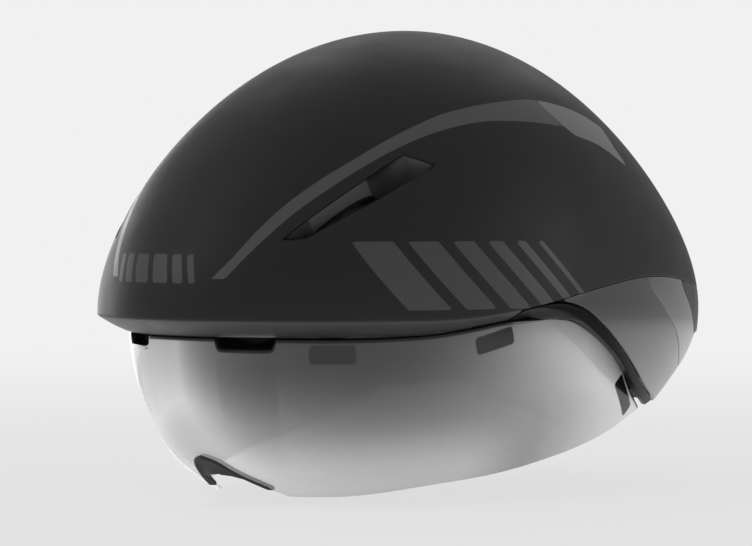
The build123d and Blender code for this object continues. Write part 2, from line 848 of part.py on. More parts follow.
def build_housing():
    half = housing_half_height
    front = left_belt_radius - belt_gap
    plate = sector(front - housing_wall, front, -housing_angle, housing_angle, -half, half)
    keep("housing_front", fit_plane * plate)
    cover = sector(cover_inner, cover_outer, -housing_angle, housing_angle, -half, half)
    lip = belt_height_rack / 2.0 + 2.0 * belt_gap
    for low, high in ((-half, -lip), (lip, half)):
        cover = cover + sector(front + hub_gap, cover_inner, -housing_angle, housing_angle, low, high)
    cover = fit_plane * (cover - axle(hub_radius + hub_gap, 0, far_rear))
    side = stem_width / 2.0
    stem = box((-side, stem_front, stem_foot), (side, stem_front + stem_wall, stem_top))
    stem = stem - fit_plane * axle(dial_radius + dial_gap, cover_outer + hub_gap, far_rear)
    keep("housing_back", cover + stem)


def build_rail():
    side = stem_width / 2.0 + rail_gap
    top = stem_top + cradle_travel + rail_gap
    slot_rear = stem_front + stem_wall + rail_gap
    slot = box((-side, stem_front - rail_gap, far_low), (side, slot_rear, top))
    window = rail_window / 2.0
    slot = slot + box((-window, 0, far_low), (window, stem_front, top))
    keep("height_rail", rail_block(0.0) - slot)


def build_guides():
    low = left_belt_radius - guide_gap
    high = belts_outer + guide_gap
    tall = belt_height_side / 2.0 + cradle_travel + guide_gap
    reach = tall + guide_wall
    block = sector(low - guide_wall, half_width, guide_from, guide_to, -reach, reach)
    block = block - sector(low, high, guide_from - guide_wall, guide_to + guide_wall, -tall, tall)
    keep_pair("temple_guide", (fit_plane * block) & body_at(head_body, pad_gap))


def build_cradle_pads():
    outer = left_belt_radius - belt_gap - housing_wall - pad_gap
    tall = housing_half_height - housing_wall
    pad = fit_plane * sector(outer - cradle_pad_wall, outer, cradle_pad_from, cradle_pad_to, -tall, tall)
    keep("cradle_pads", with_mirror(pad))


build_outer_shell()
build_panels()
build_brow_band()
build_ear_trims()
build_vents()
build_exhausts()
build_shield()
build_magnet_mounts()
build_liner()
build_comfort_pads()
build_webbing()
build_buckle()
build_belts()
build_dial()
build_housing()
build_rail()
build_guides()
build_cradle_pads()

os.makedirs("parts", exist_ok=True)
for name, shape in parts.items():
    export_step(shape, f"parts/{name}.step")
print(len(parts), "parts")
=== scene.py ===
"""Aero time trial helmet: the looks of every piece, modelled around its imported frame."""
import math

import bpy
import numpy as np
from bpy.props import FloatProperty, FloatVectorProperty, IntProperty, PointerProperty
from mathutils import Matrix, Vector


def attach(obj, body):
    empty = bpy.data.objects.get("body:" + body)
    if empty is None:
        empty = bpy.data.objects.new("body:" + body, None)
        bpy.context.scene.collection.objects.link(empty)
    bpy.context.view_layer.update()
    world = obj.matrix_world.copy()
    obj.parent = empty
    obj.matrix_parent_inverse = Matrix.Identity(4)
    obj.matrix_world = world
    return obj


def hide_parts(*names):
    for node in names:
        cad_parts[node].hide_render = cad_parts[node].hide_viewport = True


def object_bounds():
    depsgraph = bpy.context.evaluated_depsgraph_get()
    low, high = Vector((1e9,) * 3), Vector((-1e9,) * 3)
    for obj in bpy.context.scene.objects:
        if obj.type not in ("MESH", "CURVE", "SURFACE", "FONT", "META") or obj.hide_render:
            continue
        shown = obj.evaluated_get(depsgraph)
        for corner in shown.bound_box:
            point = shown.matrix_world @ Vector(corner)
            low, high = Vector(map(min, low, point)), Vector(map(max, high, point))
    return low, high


bl_info = {
    "name": "Aero Helmet Looks",
    "version": (1, 0, 0),
    "blender": (4, 5, 0),
    "location": "View3D > Sidebar > Helmet",
    "description": "Models and finishes an aero time trial helmet around its frame",
    "category": "Object",
}

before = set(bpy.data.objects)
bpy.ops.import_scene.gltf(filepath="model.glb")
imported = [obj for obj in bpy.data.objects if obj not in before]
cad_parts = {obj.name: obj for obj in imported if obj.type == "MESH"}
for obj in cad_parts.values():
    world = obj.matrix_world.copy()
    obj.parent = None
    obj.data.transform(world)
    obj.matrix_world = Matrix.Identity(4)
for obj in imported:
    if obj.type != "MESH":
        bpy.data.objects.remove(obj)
frame_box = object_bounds()

# Lengths below are in millimetres, and this turns them into metres
MM = 0.001
SIDES = (("left", 1.0), ("right", -1.0))

# Shell, outside sizes
half_width = 102.0
front_reach = 134.0
rear_reach = 154.0
crown_height = 115.0
crown_setback = 7.4
width_tuck_depth = 76.0
length_tuck_depth = 116.0
tuck_limit_share = 0.9
side_fullness_share = 0.315
front_fullness_share = 0.117
rear_fullness_share = -0.041
crown_ease_share = 0.364
skin_wall = 1.6
seam_gap = 0.4
# How far a point may lie from the shell when it is dropped onto it
drop_reach = 12.0

# Belt crease and the brow bevel under it
belt_rise = 15.0
belt_fall = 9.0
belt_stations = (-70.0, 52.0, 152.0)
bevel_drop = 7.0
bevel_inset = 12.5
bevel_wall = 2.2
bevel_lip = 3.4
bevel_end = -31.0
bevel_stations = (-75.0, -8.0)
bevel_columns = 181
bevel_tuck = (0.4, 0.6)
# The bevel's face: share of the way down, and its lift
bevel_swell = (
    (0.0, -0.5), (0.015, -0.12), (0.05, 0.0), (0.2, 0.18), (0.45, 0.28), (0.7, 0.2), (0.88, 0.0),
    (0.96, -0.25), (1.0, -0.9),
)

# Ear covers: lengths that their lines follow
ear_length = 76.0
ear_drop = 38.0
ear_grid = (180, 60)
rear_grid = (50, 50)
tail_grid = (300, 44)
cover_least_height = 0.9
belt_line_start = -60.0
line_points = 900
# Height under which each cover turns from black to grey, and over how far
ear_fade = (5.0, 46.0)
rear_fade = (20.0, 34.0)
trim_seam = 0.9
trim_depth = 12.0
trim_lower_shares = (
    (-0.394, 0.078), (-0.275, 0.105), (-0.134, 0.068), (0.025, -0.053), (0.204, -0.253),
    (0.384, -0.466), (0.56, -0.69), (0.74, -0.885), (0.9, -1.01),
)
trim_upper_shares = (
    (-0.394, 0.092), (-0.27, 0.132), (-0.118, 0.147), (0.03, 0.079), (0.192, -0.1),
    (0.362, -0.326), (0.545, -0.56), (0.75, -0.79), (0.96, -0.96),
)
trim_depth_shares = (1.0, 0.94, 0.82, 0.68, 0.5, 0.42, 0.35, 0.28, 0.2)
trim_turn_shares = (-0.36, -0.38, -0.15, 0.17, 0.16, 0.16, 0.13, 0.1, 0.07)
trim_columns = 120
trim_round_share = 0.16
tail_line_shares = ((0.99, -0.985), (1.105, -0.73), (1.24, -0.53), (1.42, -0.27), (1.65, -0.29), (2.2, -0.32))
panel_seam_shares = ((0.58, 0.6), (0.63, 0.35), (0.8, 0.07), (1.0, -0.23), (1.2, -0.7))
tail_seam_shares = ((1.05, 0.6), (1.11, 0.26), (1.25, 0.0), (1.43, -0.35), (1.6, -0.6))

# Side vent, in a plane square to the shell
vent_place_share = (0.61, -0.63, 0.39)
vent_along = (0.40, 0.816, 0.415)
vent_out = (0.72, -0.57, 0.41)
vent_length = 68.0
vent_height = 10.5
vent_gap = 0.3
vent_upper_shares = ((-0.47, 0.04), (-0.34, 0.2), (-0.13, 0.4), (0.09, 0.62), (0.27, 0.82), (0.4, 0.96))
vent_lower_shares = (
    (0.53, 0.04), (0.42, -0.05), (0.28, -0.14), (0.1, -0.27), (-0.06, -0.3), (-0.22, -0.33),
    (-0.36, -0.32), (-0.47, 0.04),
)
vent_lip = 0.7
vent_lip_depth = 1.9
vent_step = 1.0
vent_reach = 14.4
vent_grid_size = (220, 36)
vent_ease = 0.2
vent_columns_span = (0.004, 0.996)
vent_lip_share = 0.1
vent_least_hole = 0.05
vent_closed_share = 0.05
# Where the upper rear of the vent turns to painted light: share of its height and of its length
vent_painted_light_rise = (0.35, 0.95)
vent_painted_light_along = (0.7, 0.9)
# Height of the hole over the lower edge, by share of the slot's length
vent_hole_shares = (
    (0.13, 0.02), (0.2, 0.3), (0.33, 0.46), (0.5, 0.5), (0.57, 0.44), (0.61, 0.26), (0.635, 0.02),
)
# Fall of the floor, its bend and its tone, by share of the slot's length; the tone is painted light and
# shade, dark in the deep pocket and at the tips, light on the facet
vent_floor_shares = (
    (0.0, 0.8, 0.9, 0.25), (0.12, 4.0, 0.9, 0.3), (0.17, 5.0, 0.9, 1.0), (0.52, 5.4, 0.9, 1.0),
    (0.58, 6.0, 0.8, 0.8), (0.65, 7.5, 0.5, 0.2), (0.8, 6.0, 0.5, 0.25), (0.92, 3.0, 0.7, 0.6),
    (1.0, 0.8, 0.9, 0.8),
)

# Exhaust in the tail
exhaust_width = 32.0
exhaust_height = 9.0
exhaust_drop = 3.5
exhaust_inner = 14.0
exhaust_corner = 2.0

# Stripe over each side of the shell: turn in degrees and share of the way up
stripe_top = (
    (15.2, 0.135), (19.3, 0.208), (23.0, 0.285), (27.7, 0.358), (32.8, 0.413), (38.3, 0.459),
    (44.4, 0.505), (51.3, 0.546), (59.3, 0.582), (68.6, 0.605), (79.2, 0.621), (91.7, 0.629),
    (104.2, 0.614), (112.5, 0.593), (119.7, 0.559), (117.6, 0.499), (117.5, 0.45),
)
stripe_bottom = (
    (18.4, 0.136), (21.7, 0.2), (25.7, 0.269), (30.4, 0.337), (35.6, 0.392), (41.1, 0.441),
    (47.1, 0.484), (54.0, 0.52), (61.8, 0.547), (70.4, 0.564), (79.7, 0.568), (89.9, 0.564),
    (98.8, 0.555), (100.9, 0.533), (109.5, 0.505), (117.5, 0.45),
)
stripe_scale = (105.0, 140.0)
# Points on the round stretch of each line, with the others shaping the blunt rear end
stripe_top_round = 15
stripe_bottom_round = 13
stripe_turn_limit = 130.0
stripe_rise_limits = (0.1, 0.68)
flash_seam = ((93.6, 0.629), (98.5, 0.553))
flash_gap = 0.4
# Depth of a point that no mark reaches
unmarked = -50.0

# Plain bars on the side and at the brow: places and widths along the shell
side_bars = ((0.0, 15.0), (20.0, 31.0), (36.0, 44.0), (49.0, 55.0), (60.0, 64.0), (69.0, 71.5))
side_bars_from = 100.0
side_bars_levels = (4.0, 30.0)
side_bars_slant = 0.85
brow_bars = ((0.0, 4.0), (7.5, 14.0), (17.5, 28.0), (32.0, 42.5), (46.0, 52.5), (56.0, 60.0))
brow_bars_from = -33.0
brow_bars_levels = (14.0, 25.0)
brow_bars_slant = 0.5

# Shield
lens_wall = 2.0
lens_roll = 0.8
lens_gap = 0.6
lens_depth = 70.0
lens_half_width = 90.5
lens_front = 120.5
lens_rear = 140.0
lens_foremost = -130.0
lens_lead = 15.0
# Height and distance at which the shield stops before its tip, and heights to start its edges from
lens_tip_height = -38.0
lens_tip_gap = 0.6
lens_start_levels = (-40.0, -30.0)
lens_least_half = 0.4
# Half width, front, rear and nose roundness by share of the way down
lens_level_shares = (
    (-0.08, 1.0, 1.0, 1.0, 0.5523), (0.1, 1.0, 1.0, 1.0, 0.5523), (0.25, 0.989, 0.992, 1.0, 0.545),
    (0.4, 0.975, 0.977, 1.0, 0.53), (0.56, 0.953, 0.95, 1.0, 0.5), (0.7, 0.915, 0.92, 0.98, 0.475),
    (0.83, 0.865, 0.86, 0.96, 0.46), (0.94, 0.80, 0.77, 0.93, 0.46), (1.05, 0.72, 0.66, 0.88, 0.46),
)
round_share = 0.5523
lens_edge_shares = (
    (-0.59, -0.123), (-0.38, -0.058), (-0.21, -0.032), (-0.08, -0.01), (0.085, -0.035), (0.265, -0.172),
    (0.425, -0.342), (0.585, -0.56), (0.735, -0.86), (0.815, -0.975), (0.87, -1.045),
)
lens_low_shares = (
    (-1.2, -1.845), (-0.87, -1.842), (-0.58, -1.73), (-0.263, -1.63), (0.026, -1.516), (0.3, -1.4),
    (0.6, -1.235), (0.8, -1.09), (0.87, -1.045),
)
nose_half_width = 19.0
nose_height = 15.5
nose_arch_shares = ((0.0, 1.0), (0.26, 0.9), (0.6, 0.52), (1.1, -0.06))
nose_trim_half = 17.5
nose_trim_wall = 3.6
nose_trim_height = 2.0
nose_trim_lift = 0.3
nose_trim_columns = 121
nose_trim_end_steps = 5.0
nose_web_grid = (61, 18)
nose_web_wall = 1.2
nose_web_roll = 0.5
nose_web_half = 10.5
nose_web_reach = 8.0
nose_web_drop = 6.0
nose_web_tapers = (0.4, 0.75)
notch_half = 11.0
notch_depth = 4.2
notch_offset = 30.0
pad_length = 18.0
pad_height = 7.0
pad_corner = 1.5
pad_reach = 12.0
pad_place_shares = ((0.63, -0.765, -0.19), (0.965, -0.275, -0.125), (0.9, 0.354, -0.479))
pad_faces = ((0.737, -0.676), (0.977, -0.213), (1.0, 0.0))
pad_slants = (0.0, 14.0, -50.0)

# Head space, comfort pads and webbing
head_half_width = 83.0
head_front = 102.0
head_rear = 104.0
head_height = 92.0
head_centre = 4.0
pad_gap = 0.3
pad_wall = 6.0
# Sewn grooves across a pad, in shares of its wall and length, and the rim that they stop at
groove_depth = 0.4
groove_width = 0.045
groove_rim = 0.93
pad_fall_share = 0.35
pad_back_share = 0.48
brow_pad_turn = 43.0
brow_pad_levels = (-2.0, 22.0)
crown_pad_across = (6.0, 20.0)
crown_pad_along = (-14.0, 60.0)
side_pad_along = (-18.0, 3.0)
side_pad_levels = (5.0, 22.0)
cradle_pad_radii = (65.6, 71.4)
cradle_pad_turns = (5.0, 21.0)
cradle_pad_half = 9.0
fit_tilt = 24.0
fit_centre = (0.0, 27.0, -3.1)
web_width = 15.0
web_wall = 1.6
web_along = -30.5
web_foot = 5.5
web_level = 69.0
web_bar = 14.0
rear_leg_foot = (53.0, 7.5)
rear_leg_head = (-21.0, 53.0)


# Curves and numbers
def smooth_step(value, start, end):
    share = np.clip((value - start) / (end - start), 0.0, 1.0)
    return share * share * (3.0 - 2.0 * share)


def smooth_line(points, count):
    """A smooth line through the points, evenly spaced."""
    points = np.array(points, float)
    step = np.linalg.norm(np.diff(points, axis=0), axis=1)
    place = np.concatenate([[0.0], np.cumsum(step)])
    slope = np.gradient(points, place, axis=0)
    fine = np.linspace(0.0, place[-1], 40 * len(points))
    index = np.clip(np.searchsorted(place, fine, side="right") - 1, 0, len(points) - 2)
    width = step[index][:, None]
    share = (fine - place[index])[:, None] / width
    curve = (2 * share ** 3 - 3 * share ** 2 + 1) * points[index]
    curve += (3 * share ** 2 - 2 * share ** 3) * points[index + 1]
    curve += (share ** 3 - 2 * share ** 2 + share) * width * slope[index]
    curve += (share ** 3 - share ** 2) * width * slope[index + 1]
    return even_line(curve, count)


def even_line(points, count):
    """A line's points, evenly spaced."""
    points = np.array(points, float)
    step = np.linalg.norm(np.diff(points, axis=0), axis=1)
    place = np.concatenate([[0.0], np.cumsum(step)])
    fine = np.linspace(0.0, place[-1], count)
    return np.stack([np.interp(fine, place, column) for column in points.T], axis=1)


def smooth_value(value, table, column=1):
    """A smooth function of the table's first column."""
    table = np.array(table, float)
    line = smooth_line(table[:, [0, column]], 400)
    return np.interp(value, line[:, 0], line[:, 1])


def ear_line(shares, lift=0.0, back=0.0):
    return [(along * ear_length + back, height * ear_drop + lift) for along, height in shares]


def meeting(one, other):
    """Where two lines come closest: the index in each."""
    apart = np.linalg.norm(one[:, None] - other[None], axis=2)
    return np.unravel_index(np.argmin(apart), apart.shape)


def unit(vectors):
    """The vectors at a length of one."""
    return vectors / np.maximum(np.linalg.norm(vectors, axis=1, keepdims=True), 1e-12)


def drawn_out(value):
    """A sine or cosine that turns a round section into a squarish one."""
    return math.copysign(abs(value) ** 0.5, value)


# Surface of the shell
def upper_ring(angle):
    lean = np.sin(angle) ** 2
    reach = np.cos(angle)
    return (
        crown_height * np.sin(angle) * (1.0 - crown_ease_share * reach ** 2),
        half_width * reach * (1.0 + side_fullness_share * lean),
        front_reach * reach * (1.0 + front_fullness_share * lean),
        rear_reach * reach * (1.0 + rear_fullness_share * lean),
        crown_setback * lean,
    )


ring_angles = np.linspace(0.0, math.pi / 2.0, 1500)
ring_table = upper_ring(ring_angles)


def ring_at(height):
    """Half width, front, rear and centre of the shell at a height."""
    depth = np.clip(-height, 0.0, tuck_limit_share * width_tuck_depth)
    narrow = half_width * np.sqrt(1.0 - (depth / width_tuck_depth) ** 2)
    shorten = np.sqrt(1.0 - (depth / length_tuck_depth) ** 2)
    low = (narrow, front_reach * shorten, rear_reach * shorten, 0.0 * depth)
    high = [np.interp(height, ring_table[0], column) for column in ring_table[1:]]
    return [np.where(height < 0.0, below, over) for below, over in zip(low, high)]


def shell_turned(turn, angle):
    height, wide, front, rear, centre = upper_ring(angle)
    reach = np.where(np.cos(turn) > 0.0, front, rear)
    return np.stack([wide * np.sin(turn), centre - reach * np.cos(turn), height + 0.0 * turn], axis=-1)


def shell_beside(along, height):
    """The shell's left side at a place along it and a height."""
    wide, front, rear, centre = ring_at(height)
    reach = np.where(along > centre, rear, front)
    share = np.clip((along - centre) / reach, -1.0, 1.0)
    return np.stack([wide * np.sqrt(1.0 - share ** 2), along, height], axis=-1)


def shell_depth(points):
    """Under zero inside the shell, over zero outside."""
    wide, front, rear, centre = ring_at(points[:, 2])
    reach = np.where(points[:, 1] > centre, rear, front)
    return (points[:, 0] / wide) ** 2 + ((points[:, 1] - centre) / reach) ** 2 - 1.0


def dropped_on_shell(points, way):
    """The points moved along a direction until they lie on the shell."""
    low = np.full(len(points), -drop_reach)
    high = np.full(len(points), drop_reach)
    for _ in range(30):
        middle = (low + high) / 2.0
        inside = shell_depth(points + middle[:, None] * way) < 0.0
        low = np.where(inside, middle, low)
        high = np.where(inside, high, middle)
    return points + ((low + high) / 2.0)[:, None] * way


def belt_height(along):
    rise = belt_rise * smooth_step(along, belt_stations[0], belt_stations[1])
    return rise - belt_fall * smooth_step(along, belt_stations[1], belt_stations[2])


def bevel_height(along):
    return bevel_drop * (smooth_step(along, *bevel_stations) - 1.0)


# Meshes
def grid_faces(rows, columns, closed=False):
    index = np.arange(rows * columns).reshape(rows, columns)
    if closed:
        index = np.hstack([index, index[:, :1]])
    corners = (index[:-1, :-1], index[:-1, 1:], index[1:, 1:], index[1:, :-1])
    return np.stack(corners, axis=-1).reshape(-1, 4)


def mesh_normals(points, faces):
    corner = points[faces]
    across = np.cross(corner[:, 2] - corner[:, 0], corner[:, 3] - corner[:, 1])
    normals = np.zeros_like(points)
    for index in range(4):
        np.add.at(normals, faces[:, index], across)
    return unit(normals)


def border_edges(faces, count):
    """The edges that only one face has."""
    edges = np.concatenate([faces[:, [index, (index + 1) % 4]] for index in range(4)])
    edges = edges[edges[:, 0] != edges[:, 1]]
    keys = edges[:, 0] * count + edges[:, 1]
    return edges[~np.isin(keys, edges[:, 1] * count + edges[:, 0])]


def thicken(points, faces, wall, roll, steps=4):
    """A closed wall with rounded edges under a sheet, and the sheet's vertex that each vertex comes from."""
    count = len(points)
    normals = mesh_normals(points, faces)
    edges = border_edges(faces, count)
    aside = np.zeros_like(points)
    run = unit(np.cross(points[edges[:, 1]] - points[edges[:, 0]], normals[edges[:, 0]]))
    np.add.at(aside, edges[:, 0], run)
    np.add.at(aside, edges[:, 1], run)
    border = np.unique(edges)
    out = unit(aside[border])
    place = np.zeros(count, int)
    place[border] = np.arange(len(border))
    sheets = [points, points - normals * wall]
    source = [np.arange(count), np.arange(count)]
    rings = [border]
    for step in range(1, steps):
        angle = math.pi * step / steps
        sunk = normals[border] * (wall / 2.0 * (1.0 - math.cos(angle)))
        sheets.append(points[border] + out * roll * math.sin(angle) - sunk)
        source.append(border)
        rings.append(2 * count + (step - 1) * len(border) + np.arange(len(border)))
    rings.append(border + count)
    built = [faces, faces[:, ::-1] + count]
    first = place[edges[:, 0]]
    second = place[edges[:, 1]]
    for near, far in zip(rings[:-1], rings[1:]):
        built.append(np.stack([near[second], near[first], far[first], far[second]], axis=1))
    return np.concatenate(sheets), np.concatenate(built), np.concatenate(source)


def inner_side(solid, count):
    """Which vertices of a thickened sheet of that many points are its inner side."""
    index = np.arange(len(solid))
    return (index >= count) & (index < 2 * count)


def packed(points, faces):
    """Only the points that faces use, the faces on them, and the places of those points before."""
    used = np.unique(faces)
    place = np.zeros(len(points), int)
    place[used] = np.arange(len(used))
    return points[used], place[faces], used


def walled(top, back, faces):
    """A closed block between a sheet and its back."""
    edges = border_edges(faces, len(top))
    sides = np.stack([edges[:, 1], edges[:, 0], edges[:, 0] + len(top), edges[:, 1] + len(top)], axis=1)
    return np.concatenate([top, back]), np.concatenate([faces, faces[:, ::-1] + len(top), sides])


def inside_by(points, outline):
    """How far each 2D point lies inside an outline, under zero outside it, and the nearest outline point."""
    start = outline
    run = np.roll(outline, -1, axis=0) - start
    away = points[:, None] - start[None]
    share = np.clip((away * run).sum(2) / np.maximum((run ** 2).sum(1), 1e-12), 0.0, 1.0)
    foot = start[None] + share[..., None] * run[None]
    apart = np.linalg.norm(points[:, None] - foot, axis=2)
    nearest = apart.argmin(1)
    row = np.arange(len(points))
    height = points[:, None, 1]
    low = start[None, :, 1]
    high = low + run[None, :, 1]
    crossing = (low > height) != (high > height)
    rise = np.where(np.abs(run[:, 1]) < 1e-12, 1e-12, run[:, 1])
    at = start[None, :, 0] + (height - low) * run[None, :, 0] / rise[None]
    inside = (crossing & (points[:, None, 0] < at)).sum(1) % 2 == 1
    return np.where(inside, 1.0, -1.0) * apart[row, nearest], foot[row, nearest]


def cut_hole(flat, faces, outline, near):
    """The faces left by an outline's hole, the hole's border, and where that lands on the outline."""
    close = near[faces].all(1)
    inside = np.zeros(len(faces), bool)
    inside[close] = inside_by(flat[faces[close]].mean(1), outline)[0] > 0.0
    kept = faces[~inside]
    border = np.intersect1d(np.unique(faces[inside]), np.unique(kept))
    return kept, border, inside_by(flat[border], outline)[1]


def grown_outline(outline, grow):
    """An outline with every side moved outward."""
    run = np.roll(outline, -1, axis=0) - np.roll(outline, 1, axis=0)
    side = unit(np.stack([run[:, 1], -run[:, 0]], axis=1))
    area = np.cross(outline, np.roll(outline, -1, axis=0)).sum()
    return outline + side * grow * math.copysign(1.0, area)


def patch_between(bottom, top, start, end):
    """A grid of points between four lines that share their corners."""
    across = np.linspace(0.0, 1.0, len(bottom))[None, :, None]
    up = np.linspace(0.0, 1.0, len(start))[:, None, None]
    ruled = (1 - up) * bottom[None] + up * top[None] + (1 - across) * start[:, None] + across * end[:, None]
    low = (1 - across) * bottom[0] + across * bottom[-1]
    high = (1 - across) * top[0] + across * top[-1]
    return ruled - (1 - up) * low - up * high


def swept(sections):
    """Faces of closed sections in a row, with flat ends."""
    rows, columns = sections.shape[:2]
    faces = [tuple(face) for face in grid_faces(rows, columns, closed=True)]
    faces.append(tuple(range(columns))[::-1])
    faces.append(tuple((rows - 1) * columns + index for index in range(columns)))
    return sections.reshape(-1, 3), faces


def add_piece(name, points, faces, finish, body, replaced=(), marks=None):
    """A new mesh in the frame, riding on a body."""
    tidy = []
    for face in faces:
        loop = [int(index) for index in face]
        tidy.append([index for place, index in enumerate(loop) if index != loop[place - 1]])
    mesh = bpy.data.meshes.new(name)
    mesh.from_pydata((np.asarray(points) * MM).tolist(), [], tidy)
    mesh.polygons.foreach_set("use_smooth", [True] * len(mesh.polygons))
    for mark, values in (marks or {}).items():
        mesh.attributes.new(mark, "FLOAT", "POINT").data.foreach_set("value", values.astype(np.float32))
    mesh.materials.append(finish)
    mesh.update()
    piece = bpy.data.objects.new(name, mesh)
    bpy.context.scene.collection.objects.link(piece)
    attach(piece, body)
    if replaced:
        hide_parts(*replaced)
    return piece


def mirror_piece(points, faces, side):
    """The left piece as it is, or as its mirror image."""
    if side > 0:
        return points, faces
    return points * np.array([-1.0, 1.0, 1.0]), [tuple(face)[::-1] for face in faces]


def add_pair(kind, points, faces, look, node, marks=None):
    """A piece on each side, in place of a pair of nodes."""
    pieces = []
    for side_name, side in SIDES:
        solid, turned = mirror_piece(points, faces, side)
        name, replaced = f"{side_name}_{kind}", [f"{side_name}_{node}"]
        pieces.append(add_piece(name, solid, turned, finish(look), "helmet", replaced, marks))
    return pieces


def dress(nodes, finish, edge=0.0):
    """Finishes frame nodes, with their edges eased."""
    for name in nodes:
        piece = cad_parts[name]
        if not piece.material_slots:
            piece.data.materials.append(finish)
        for held in piece.material_slots:
            held.link = "OBJECT"
            held.material = finish
        if edge:
            ease_edges(piece, edge)


def ease_edges(piece, edge):
    """Joins a piece's faces and rounds its sharp edges."""
    weld = piece.modifiers.new("Joined faces", "WELD")
    weld.merge_threshold = 0.01 * MM
    ease = piece.modifiers.new("Eased edges", "BEVEL")
    ease.width = edge * MM
    ease.segments = 3
    ease.angle_limit = math.radians(38.0)
    ease.use_clamp_overlap = True


def pair(*names):
    return [f"{side}_{name}" for name in names for side, _ in SIDES]


# Finishes
class Recipe:
    """One material's nodes, around its own shader."""

    def __init__(self, name, colour, rough):
        self.material = bpy.data.materials.new(name)
        self.material.use_nodes = True
        self.nodes = self.material.node_tree.nodes
        self.links = self.material.node_tree.links
        self.shader = self.nodes["Principled BSDF"]
        self.shader.inputs["Base Color"].default_value = (*colour, 1.0)
        self.shader.inputs["Roughness"].default_value = rough
        self.place = self.add("ShaderNodeTexCoord").outputs["Object"]
        self.heights = []

    def add(self, kind, inputs=None, **settings):
        node = self.nodes.new(kind)
        for key, value in settings.items():
            setattr(node, key, value)
        for key, value in (inputs or {}).items():
            if isinstance(value, bpy.types.NodeSocket):
                self.links.new(value, node.inputs[key])
            else:
                node.inputs[key].default_value = value
        return node

    def noise(self, size, detail=3.0):
        """Noise with features of a size in millimetres."""
        inputs = {"Vector": self.place, "Scale": 1.0 / (size * MM), "Detail": detail}
        return self.add("ShaderNodeTexNoise", inputs).outputs["Fac"]

    def cells(self, size, feature="F1"):
        inputs = {"Vector": self.place, "Scale": 1.0 / (size * MM)}
        return self.add("ShaderNodeTexVoronoi", inputs, feature=feature).outputs["Distance"]

    def ranged(self, value, low, high, start=0.0, end=1.0):
        inputs = {"Value": value, "From Min": start, "From Max": end, "To Min": low, "To Max": high}
        return self.add("ShaderNodeMapRange", inputs).outputs["Result"]

    def blend(self, share, one, other):
        node = self.add("ShaderNodeMix", {"Factor": share}, data_type="RGBA")
        for socket, colour in ((node.inputs[6], one), (node.inputs[7], other)):
            if isinstance(colour, bpy.types.NodeSocket):
                self.links.new(colour, socket)
            else:
                socket.default_value = (*colour, 1.0)
        return node.outputs[2]

    def reckon(self, operation, *values):
        return self.add("ShaderNodeMath", dict(enumerate(values)), operation=operation).outputs[0]

    def mark(self, name):
        return self.add("ShaderNodeAttribute", attribute_name=name).outputs["Fac"]

    def feed(self, key, value):
        if isinstance(value, bpy.types.NodeSocket):
            self.links.new(value, self.shader.inputs[key])
        else:
            self.shader.inputs[key].default_value = value

    def bump(self, height, depth, strength=1.0):
        inputs = {"Height": height, "Distance": depth * MM, "Strength": strength}
        if self.heights:
            inputs["Normal"] = self.heights[-1]
        node = self.add("ShaderNodeBump", inputs)
        self.heights.append(node.outputs["Normal"])
        self.links.new(node.outputs["Normal"], self.shader.inputs["Normal"])


def dimmed(colour, share):
    return tuple(part * share for part in colour)


def grained(name, colour, rough, spread=0.06, grain=0.5, depth=0.01, cloud=18.0, shade=0.12):
    """Moulded plastic: fine grain, with gloss and tone that drift over the surface."""
    recipe = Recipe(name, colour, rough)
    drift = recipe.noise(cloud)
    recipe.feed("Roughness", recipe.ranged(drift, rough - spread, rough + spread, 0.3, 0.7))
    recipe.feed("Base Color", recipe.blend(drift, dimmed(colour, 1.0 - shade), dimmed(colour, 1.0 + shade)))
    recipe.bump(recipe.noise(grain, 2.0), depth)
    return recipe


def linear(tone):
    """The linear value of a display tone from 0 to 1."""
    return ((tone + 0.055) / 1.055) ** 2.4


def grey(level):
    """The linear grey of a display level from 0 to 255."""
    return (linear(level / 255.0),) * 3


def shell_finish(looks):
    recipe = grained("Satin black skin", looks.shell_colour, looks.shell_rough, 0.04, 0.35, 0.006)
    drift = recipe.ranged(recipe.noise(1.6, 4.0), 0.0, 1.0, 0.35, 0.65)
    base = recipe.blend(drift, looks.shell_colour, dimmed(looks.shell_colour, 1.1))
    stripe = recipe.ranged(recipe.mark("stripe"), 0.0, 1.0, -0.12, 0.12)
    flash = recipe.ranged(recipe.mark("flash"), 0.0, 1.0, -0.12, 0.12)
    bars = recipe.ranged(recipe.mark("bars"), 0.0, 1.0, -0.1, 0.1)
    base = recipe.blend(bars, base, looks.bars_colour)
    base = recipe.blend(stripe, base, looks.stripe_colour)
    base = recipe.blend(flash, base, looks.flash_colour)
    recipe.feed("Base Color", base)
    level = recipe.reckon("MAXIMUM", stripe, bars)
    soft = recipe.ranged(recipe.noise(20.0), looks.shell_rough - 0.04, looks.shell_rough + 0.04, 0.3, 0.7)
    recipe.feed("Roughness", recipe.reckon("ADD", soft, recipe.reckon("MULTIPLY", level, -0.14)))
    recipe.bump(level, 0.012)
    recipe.feed("Specular IOR Level", 0.3)
    return recipe.material


def cover_finish(looks):
    recipe = grained("Cover gloss grey", looks.cover_colour, 0.16, 0.03, 0.8, 0.003, 30.0, 0.05)
    dark = dimmed(looks.cover_colour, 0.22)
    recipe.feed("Base Color", recipe.blend(recipe.mark("fade"), dark, looks.cover_colour))
    recipe.feed("Coat Weight", 0.5)
    recipe.feed("Coat Roughness", 0.06)
    return recipe.material


def trim_finish(looks):
    recipe = grained("Trim black", looks.trim_colour, 0.3, 0.05, 0.6, 0.008)
    recipe.feed("Specular IOR Level", 0.08)
    return recipe.material


